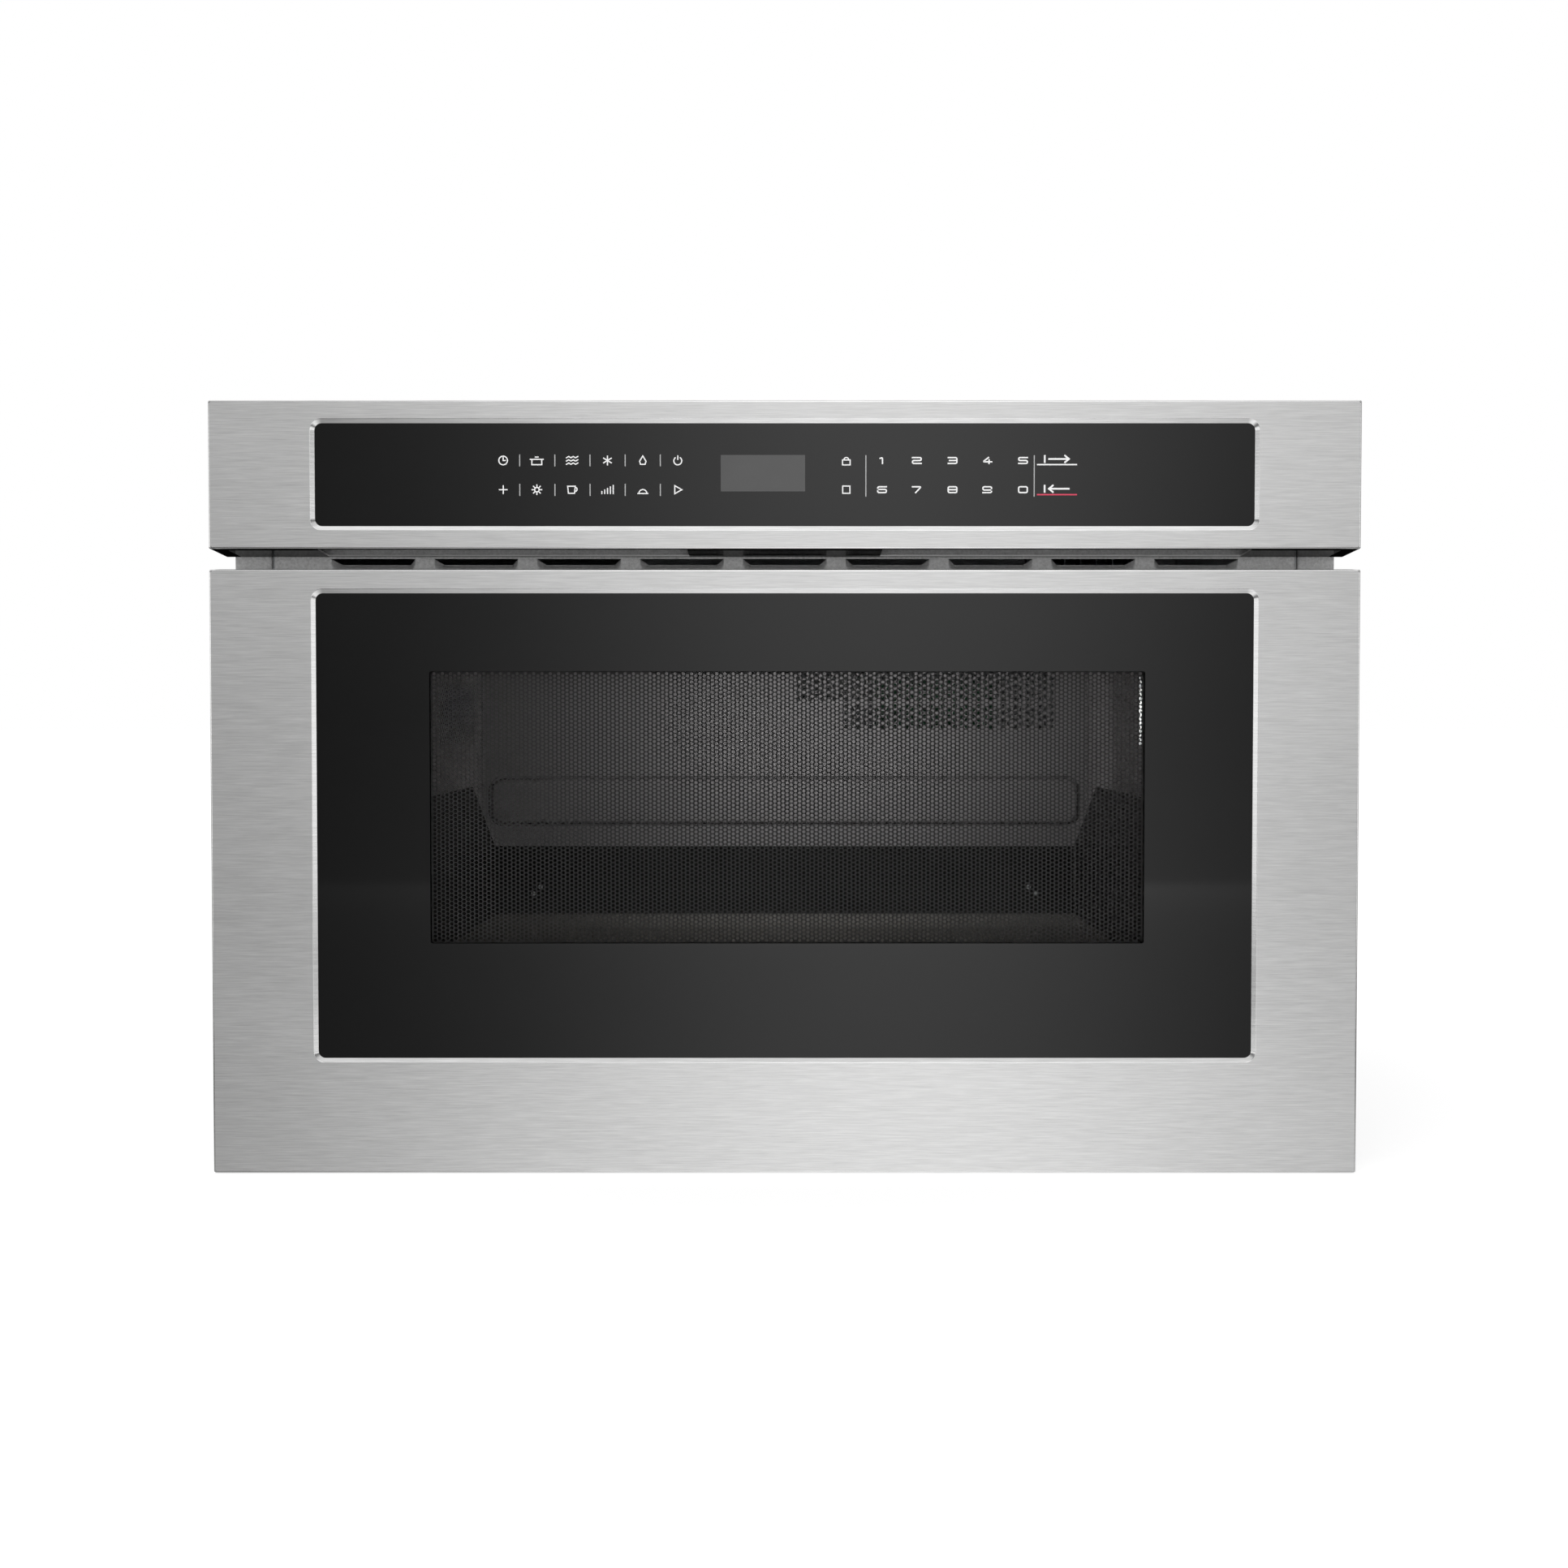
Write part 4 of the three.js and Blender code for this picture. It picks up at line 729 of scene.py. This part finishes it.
pale.append(barAt(layout["paleZ"]))
printMarks("pale_marks", pale, paleInk)
printMarks("divider_marks", dim, dimInk)
printMarks("red_mark", [barAt(layout["redZ"])], redInk)
print("marks printed")


louvre = {"count": 9, "pitch": 55.8, "wide": 45.5, "high": 12, "deep": 11, "drop": 3, "slit": 327.6,
          "levels": 12, "turn": 86, "taper": 4.5, "reach": 0.985, "round": 0.9, "roundest": 9,
          "plane": 36, "x": (-276.7, 276.7), "z": (311.6, 384), "sheet": 0.0012}


def louvreOutline(centre, angle):
    back = 1 - math.cos(angle)
    half = louvre["wide"] / 2 - louvre["taper"] * back
    top = louvre["slit"] - louvre["drop"] * back
    rise = (louvre["high"] - louvre["drop"]) * math.sin(angle) * louvre["reach"]
    low = louvre["slit"] - louvre["high"] + rise
    corner = louvre["round"] * min(top - low, louvre["roundest"])
    x0, x1 = centre - half, centre + half
    left = arc(x0 + corner, low + corner, corner, 180, 270, 8)
    right = arc(x1 - corner, low + corner, corner, -90, 0, 8)
    return [(x0, top)] + left + right + [(x1, top)]


def louvreStrip():
    plane, (x0, x1), (z0, z1) = louvre["plane"], louvre["x"], louvre["z"]
    form, rim = bmesh.new(), []

    def closedLoop(points):
        corners = [form.verts.new(place(x, plane, z)) for x, z in points]
        for a, b in zip(corners, corners[1:] + corners[:1]):
            rim.append(form.edges.new((a, b)))

    closedLoop([(x0, z0), (x1, z0), (x1, z1), (x0, z1)])
    count, levels = louvre["count"], louvre["levels"]
    centres = [(i - (count - 1) / 2) * louvre["pitch"] for i in range(count)]
    for centre in centres:
        closedLoop(louvreOutline(centre, 0))
    bmesh.ops.triangle_fill(form, use_beauty=True, use_dissolve=False, edges=rim)
    for centre in centres:
        rows = []
        for level in range(levels + 1):
            angle = math.radians(louvre["turn"] * level / levels)
            depth = plane + louvre["deep"] * (1 - math.cos(angle))
            outline = louvreOutline(centre, angle)
            rows.append([form.verts.new(place(x, depth, z)) for x, z in outline])
        for a, b in zip(rows, rows[1:]):
            for j in range(len(a) - 1):
                form.faces.new((a[j], a[j + 1], b[j + 1], b[j]))
        form.faces.new(rows[-1])
    bmesh.ops.remove_doubles(form, verts=form.verts, dist=sameSpot)
    bmesh.ops.recalc_face_normals(form, faces=form.faces)
    widest = max(form.faces, key=lambda f: f.calc_area())
    if widest.normal.y > 0:
        bmesh.ops.reverse_faces(form, faces=form.faces)
    mesh = meshOf(form, "louvred_flange")
    mesh.materials.append(looks["grey_paint"])
    piece = linked("louvred_flange", mesh)
    thick = piece.modifiers.new("sheet", "SOLIDIFY")
    thick.thickness, thick.offset, thick.use_even_offset = louvre["sheet"], -1, True
    finishPiece(piece, "body", ["louvre_strip"], 40)


louvreStrip()
print("louvres pressed")


ear = {"inner": 278.3, "outer": 298, "front": 36, "sheet": 1.2, "leg": 22, "bend": 1.9,
       "z": (10, 384), "holeX": 290, "holeZ": (40, 140, 240, 340), "hole": 2.6}


def mountingEar(side, word):
    inner, near, sheet, bend = [ear[key] for key in ("inner", "front", "sheet", "bend")]
    turn = [math.pi / 2 * i / 6 for i in range(7)]

    def bent(radius, angles):
        return [(inner + bend - radius * math.sin(a), near + bend - radius * math.cos(a))
                for a in angles]

    outline = [(ear["outer"], near)] + bent(bend, turn)
    outline += [(inner, near + ear["leg"]), (inner + sheet, near + ear["leg"])]
    outline += bent(bend - sheet, reversed(turn)) + [(ear["outer"], near + sheet)]
    count = len(outline)
    points = [(side * x, d, z) for z in ear["z"] for x, d in outline]
    faces = loftFaces(2, count) + [tuple(range(count)), tuple(range(count, 2 * count))]
    piece = makePiece(f"bent_ear_{word}", points, faces, looks["grey_paint"], "body",
                      [f"mounting_ear_{word}"])
    piece.modifiers.clear()
    radius = ear["hole"] / 1000
    for z in ear["holeZ"]:
        spot = Matrix.Translation(place(side * ear["holeX"], near + 1, z))
        form = bmesh.new()
        bmesh.ops.create_cone(form, cap_ends=True, segments=28, radius1=radius, radius2=radius,
                              depth=0.01, matrix=spot @ Matrix.Rotation(math.pi / 2, 4, "X"))
        cutWith(piece, meshOf(form, "punch"))
    finishPiece(piece, "body")


mountingEar(-1, "left")
mountingEar(1, "right")
print("ears bent")


def perforated(start, cells, pitch, hole):        # staggered holes; odd columns end in half cells
    (u0, v0), (columns, rows), (du, dv) = start, cells, pitch
    points, faces = [], []
    ringAt = [(du / 2, 0), (du / 2, dv / 2), (-du / 2, dv / 2),
              (-du / 2, 0), (-du / 2, -dv / 2), (du / 2, -dv / 2)]
    sixths = [math.pi / 3 * i for i in range(6)]
    holeAt = [(hole * math.cos(a), hole * math.sin(a)) for a in sixths]
    for column in range(columns):
        u, odd = u0 + (column + 0.5) * du, column % 2
        for row in range(rows - odd):
            v = v0 + (row + 0.5 + 0.5 * odd) * dv
            base = len(points)
            points += moved(ringAt, u, v) + moved(holeAt, u, v)
            faces += [(base + i, base + (i + 1) % 6, base + 6 + (i + 1) % 6, base + 6 + i)
                      for i in range(6)]
        if odd:
            for v in (v0, v0 + (rows - 0.5) * dv):
                base = len(points)
                points += patch((u - du / 2, u + du / 2), (v, v + dv / 2))[0]
                faces.append((base, base + 1, base + 2, base + 3))
    return points, faces


def patch(us, vs):               # one plain rectangle
    return [(us[0], vs[0]), (us[1], vs[0]), (us[1], vs[1]), (us[0], vs[1])], [(0, 1, 2, 3)]


def gather(parts, lift):         # flat parts joined, then lifted into place
    points, faces = [], []
    for some, sides in parts:
        faces += shifted(sides, len(points))
        points += some
    return [lift(u, v) for u, v in points], faces


def around(outer, inner):        # a rectangle with a rectangular hole, as four patches
    ((a0, a1), (b0, b1)), ((c0, c1), (d0, d1)) = outer, inner
    return [patch((a0, a1), (b0, d0)), patch((a0, a1), (d1, b1)),
            patch((a0, c0), (d0, d1)), patch((c1, a1), (d0, d1))]


screen = {"cells": (171, 66), "pitch": (2.204, 2.18), "hole": 0.93, "middle": 1.3, "foot": 122.0,
          "depth": 7.5, "plate": ((-200, 200), (112, 278))}


def microwaveScreen():
    (columns, rows), (du, dv) = screen["cells"], screen["pitch"]
    u0, v0 = screen["middle"] - columns * du / 2, screen["foot"]
    parts = [perforated((u0, v0), screen["cells"], screen["pitch"], screen["hole"])]
    parts += around(screen["plate"], ((u0, u0 + columns * du), (v0, v0 + rows * dv)))
    points, faces = gather(parts, lambda u, v: (u, screen["depth"], v))
    makePiece("door_screen", points, faces, screenLook, "drawer",
              ["perforated_screen"], merge=False)


microwaveScreen()


rear = {"plane": 513, "x": (-229.7, 229.7), "z": (86.3, 289.7), "embossX": (-223.5, 223.5),
        "embossZ": (160, 193.5), "corner": 9, "reach": 3, "margin": 2,
        "crease": ((2.3, 0), (2.0, 2.6), (0.6, 2.6)), "pitch": (4.6, 5.2), "hole": 1.85,
        "upper": ((8, 252), (43, 5)), "lower": ((44.8, 231), (35, 4)), "steps": 8}


def cavityBackSheet():
    plane, xs, zs, steps, reach = [rear[key] for key in ("plane", "x", "z", "steps", "reach")]
    embossX, embossZ, (du, dv) = rear["embossX"], rear["embossZ"], rear["pitch"]
    parts = []

    def ventField(start, cells):
        parts.append(perforated(start, cells, rear["pitch"], rear["hole"]))
        return (start[0], start[0] + cells[0] * du), (start[1], start[1] + cells[1] * dv)

    (upperX, upperZ), (lowerX, lowerZ) = ventField(*rear["upper"]), ventField(*rear["lower"])
    below, over = grown(embossZ, rear["margin"])
    parts += [patch(xs, (zs[0], below)), patch(xs, (over, lowerZ[0])), patch(xs, (upperZ[1], zs[1])),
              patch((xs[0], lowerX[0]), lowerZ), patch((lowerX[1], xs[1]), lowerZ),
              patch(xs, (lowerZ[1], upperZ[0])),
              patch((xs[0], upperX[0]), upperZ), patch((upperX[1], xs[1]), upperZ)]
    points, faces = gather(parts, lambda u, v: (u, plane, v))
    loops = [atDepth(plane, roundedLoop(xs, (below, over), 0.01, steps))]

    def embossLoop(out, depth):
        outline = roundedLoop(grown(embossX, out), grown(embossZ, out), rear["corner"] + out, steps)
        loops.append(atDepth(depth, outline))

    for out, deep in rear["crease"]:
        embossLoop(out, plane + deep)
    for wide, deep in quarter(6):
        embossLoop(-reach * deep, plane - reach * (1 - wide))
    base, count = len(points), len(loops[0])
    points += [p for loop in loops for p in loop]
    faces += shifted(loftFaces(len(loops), count), base)
    last = base + (len(loops) - 1) * count
    faces.append(tuple(range(last, last + count)))
    makePiece("cavity_rear_sheet", points, faces, looks["cavity_paint"], "body",
              ["cavity_back"], facing=(0, -1, 0))


cavitySides = {"half": 230, "depth": (37.5, 512.7), "z": (86.3, 289.7), "hole": 0.41,
               "slot": ((262, 270), (217, 234), None), "vents": ((300, 475), (222, 266), (37, 9)),
               "lampWindow": ((236, 264), (222, 268), (7, 11))}


def cavitySide(word, x, openings):                # the openings run from front to rear
    (start, end), zs = cavitySides["depth"], cavitySides["z"]
    parts = []
    for (d0, d1), (z0, z1), cells in openings:
        parts += [patch((start, d0), zs), patch((d0, d1), (zs[0], z0)), patch((d0, d1), (z1, zs[1]))]
        if cells:
            pitch = ((d1 - d0) / cells[0], (z1 - z0) / cells[1])
            parts.append(perforated((d0, z0), cells, pitch, cavitySides["hole"] * min(pitch)))
        start = d1
    parts.append(patch((start, end), zs))
    points, faces = gather(parts, lambda u, v: (x, u, v))
    makePiece(f"cavity_{word}_sheet", points, faces, looks["cavity_paint"], "body",
              [f"cavity_{word}"], facing=(-x, 0, 0))


cavityBackSheet()
cavitySide("left", -cavitySides["half"], [cavitySides["slot"], cavitySides["vents"]])
cavitySide("right", cavitySides["half"], [cavitySides["lampWindow"]])
print("cavity sheets perforated")


dome = {"segments": 24, "upright": 0.45, "slotHigh": 0.9, "slotLong": 1.1, "slotWide": 0.24}


def domeMesh(radius, height, crossed):
    segments, upright = dome["segments"], dome["upright"]
    profile = [(radius, 0), (radius, height * upright)]
    profile += [(radius * math.cos(a), height * (upright + (1 - upright) * math.sin(a)))
                for a in [math.pi / 2 * i / 6 for i in range(1, 6)]]
    turns = [2 * math.pi * j / segments for j in range(segments)]
    points = [(r * math.cos(a), r * math.sin(a), h) for r, h in profile for a in turns]
    top = len(points)
    points.append((0, 0, height))
    faces = loftFaces(len(profile), segments)
    last = top - segments
    faces += [(last + j, last + (j + 1) % segments, top) for j in range(segments)]
    faces.append(tuple(range(segments - 1, -1, -1)))
    mesh = bpy.data.meshes.new("head")
    mesh.from_pydata([[v / 1000 for v in p] for p in points], [], faces)
    if not crossed:
        return mesh
    head = linked("head", mesh)
    high = height * dome["slotHigh"]
    long, wide = [radius * dome[key] for key in ("slotLong", "slotWide")]
    for turn in (0, math.pi / 2):
        bar = bmesh.new()
        spot = Matrix.Rotation(turn, 4, "Z") @ Matrix.Translation((0, 0, high / 1000))
        scale = Matrix.Diagonal((long / 1000, wide / 1000, high / 1000, 1))
        bmesh.ops.create_cube(bar, size=1, matrix=spot @ scale)
        cutWith(head, meshOf(bar, "bar"))
    made = head.data.copy()
    bpy.data.objects.remove(head)
    return made


heads = {"pan": domeMesh(3.6, 2.0, True), "small": domeMesh(2.6, 1.4, True),
         "rivet": domeMesh(1.7, 0.6, False), "weld": domeMesh(2.6, 0.18, False)}
facings = {"back": (-90, 0), "front": (90, 0), "top": (0, 0), "right": (0, 90), "left": (0, -90)}


def fasteners(name, kind, facing, spots, body):
    form = bmesh.new()
    tiltX, tiltY = [math.radians(angle) for angle in facings[facing]]
    turned = Matrix.Rotation(tiltX, 4, "X") @ Matrix.Rotation(tiltY, 4, "Y")
    for i, spot in enumerate(spots):
        one = heads[kind].copy()
        one.transform(Matrix.Translation(place(*spot)) @ turned @ Matrix.Rotation(i * 0.7, 4, "Z"))
        form.from_mesh(one)
    mesh = meshOf(form, name)
    mesh.materials.append(looks["galvanised"])
    finishPiece(linked(name, mesh), body)


planes = {"back": 587.8, "top": 384, "plate": 31.5, "side": 278, "rearWall": 470}
backSpots = [(x, planes["back"], z) for x in (-268, 268) for z in (22, 140, 255, 372)]
backSpots += [(x, planes["back"], z) for x in (-120, 120) for z in (18, 376)]
topSpots = [(x, d, planes["top"]) for x in (-271, 271) for d in (60, 190, 320, 450, 575)]
plateSpots = [(x, planes["plate"], z) for x in (-290, 290) for z in (24, 110, 205, 298)]
plateSpots += [(x, planes["plate"], 14) for x in (-150, 0, 150)]
rivetSpots = [(x * side, planes["rearWall"], z) for side in (-1, 1)
              for x, z in ((187, 109.7), (181.7, 114.6))]
fasteners("back_screws", "pan", "back", backSpots, "body")
fasteners("top_screws", "small", "top", topSpots, "body")
fasteners("door_screws", "small", "back", plateSpots, "drawer")
for side, word in ((1, "right"), (-1, "left")):
    weldSpots = [(side * planes["side"], d, 30 + 24 * i) for d in (43, 583) for i in range(15)]
    fasteners(f"side_welds_{word}", "weld", word, weldSpots, "body")
fasteners("drawer_rivets", "rivet", "front", rivetSpots, "drawer")
print("fasteners set")


studio = {"peak": 0.86, "middle": 0.05, "width": 0.165, "dark": 0.13, "sides": 0.92,
          "sideSpan": (0.3, 0.75), "above": 0.75, "top": 1.05, "domeBase": 0.18, "domePeak": 1.54,
          "domeWidth": 0.265, "floor": 0.92, "nearFloor": 0.55, "rear": (1.0, 0.4)}
slopes = {"lift": 2.2, "most": 1.3, "dome": (0.14, 0.3), "above": (0.6, 1.2), "top": (1.9, 2.8),
          "rear": (0.15, 0.7)}


def studioFront(s, across):      # the light in front: a tall soft panel between two dark flags
    return (studio["dark"] + studio["peak"] * s.bell(across, studio["middle"], studio["width"])
            + studio["sides"] * s.smooth(s.size(across), *studio["sideSpan"]))


def studioDome(s, across):       # the same panel, wider, outside of what the glass mirrors
    bell = s.bell(across, studio["middle"], studio["domeWidth"])
    return studio["domeBase"] + studio["domePeak"] * bell


def studioWorld():
    world = bpy.data.worlds.new("studio")
    scene.world = world
    world.use_nodes = True
    s = Sheet(world.node_tree)
    direction = s.add("ShaderNodeTexCoord", output="Generated")
    x, y, z = [s.add("ShaderNodeSeparateXYZ", None, {0: direction}, output=i) for i in range(3)]
    ahead = s.clamp(0 - y, 0.05, 1.0)
    slope = z / ahead
    lifted = studioFront(s, x / ahead) * s.clamp(1 + slopes["lift"] * slope, 1.0, slopes["most"])
    facing = s.blend(s.smooth(slope, *slopes["dome"]), lifted, studioDome(s, x / ahead))
    above = s.blend(s.smooth(slope, *slopes["top"]), grey(studio["above"]), grey(studio["top"]))
    shown = s.blend(s.smooth(slope, *slopes["above"]), facing, above)
    behind = s.blend(s.smooth(x, *slopes["rear"]), *[grey(level) for level in studio["rear"]])
    shown = s.blend(s.clamp(0 - 6 * y), behind, shown)
    glossy = s.add("ShaderNodeLightPath", output="Is Glossy Ray")
    colour = s.blend(glossy, grey(1.0), shown)
    s.feed(world.node_tree.nodes["Background"].inputs["Color"], colour)


ground = {"reach": 30, "z": -0.0004, "cloth": 0.46, "glow": 0.62, "mirroredEye": 0.854,
          "near": (-0.68, -0.5)}


def floorPiece():
    mesh, reach = bpy.data.meshes.new("floor"), ground["reach"]
    corners = [(x, y, ground["z"]) for x, y in patch((-reach, reach), (-reach, reach))[0]]
    mesh.from_pydata(corners, [], [(0, 1, 2, 3)])
    floor = linked("floor", mesh)
    material = bpy.data.materials.new("pale floor")
    material.use_nodes = True
    s = Sheet(material.node_tree)
    material.node_tree.nodes.clear()
    straight, glossy, through = [s.add("ShaderNodeLightPath", output=f"Is {kind} Ray")
                                 for kind in ("Camera", "Glossy", "Transmission")]
    seen = s.clamp(straight + glossy + through)
    # painted reflection: for glossy rays the floor's colour carries the front soft panel between its
    # dark flags, and the wider panel near the object
    across = s.along(0) / s.clamp(ground["mirroredEye"] - s.along(1), 0.1, 60)
    far = studio["floor"] * studioFront(s, across)
    near = studio["nearFloor"] * studioDome(s, across)
    share = 1 - glossy * (1 - s.blend(s.smooth(s.along(1), *ground["near"]), far, near))
    tone = s.blend(share, grey(0), grey(ground["cloth"]))
    cloth = s.add("ShaderNodeBsdfDiffuse", None, {"Color": tone})
    strength = seen * ground["glow"] * share
    glow = s.add("ShaderNodeEmission", None, {"Color": grey(1.0), "Strength": strength})
    both = s.add("ShaderNodeAddShader", None, {0: cloth, 1: glow})
    output = material.node_tree.nodes.new("ShaderNodeOutputMaterial")
    s.feed(output.inputs["Surface"], both)
    mesh.materials.append(material)


def softLamp(name, spot, aim, size, power, colour=(1, 1, 1)):
    data = bpy.data.lights.new(name, "AREA")
    data.shape, data.size, data.size_y = "RECTANGLE", size[0], size[1]
    data.energy, data.color = power, colour
    lamp = linked(name, data)
    lamp.location = spot
    lamp.rotation_euler = (Vector(aim) - Vector(spot)).to_track_quat("-Z", "Y").to_euler()
    lamp.visible_camera = lamp.visible_glossy = lamp.visible_transmission = False


studioWorld()
floorPiece()
pinkish = (1, 0.98, 0.985)       # the light inside the cavity
softLamp("key", (-0.6, -1.6, 1.9), (0, 0, 0.2), (1.4, 1.0), 8)
softLamp("front", (0, -2.3, 0.34), (0, 0, 0.34), (1.6, 0.5), 10)
softLamp("cavity", place(34, 365, 232), place(34, 513, 212), (0.24, 0.06), 0.262, pinkish)
for side in (-1, 1):             # one for each side wall of the cavity
    spot, aim = place(-side * 60, 250, 250), place(side * 230, 330, 240)
    softLamp("side_glow", spot, aim, (0.3, 0.04), 0.09, pinkish)
print("studio lit")
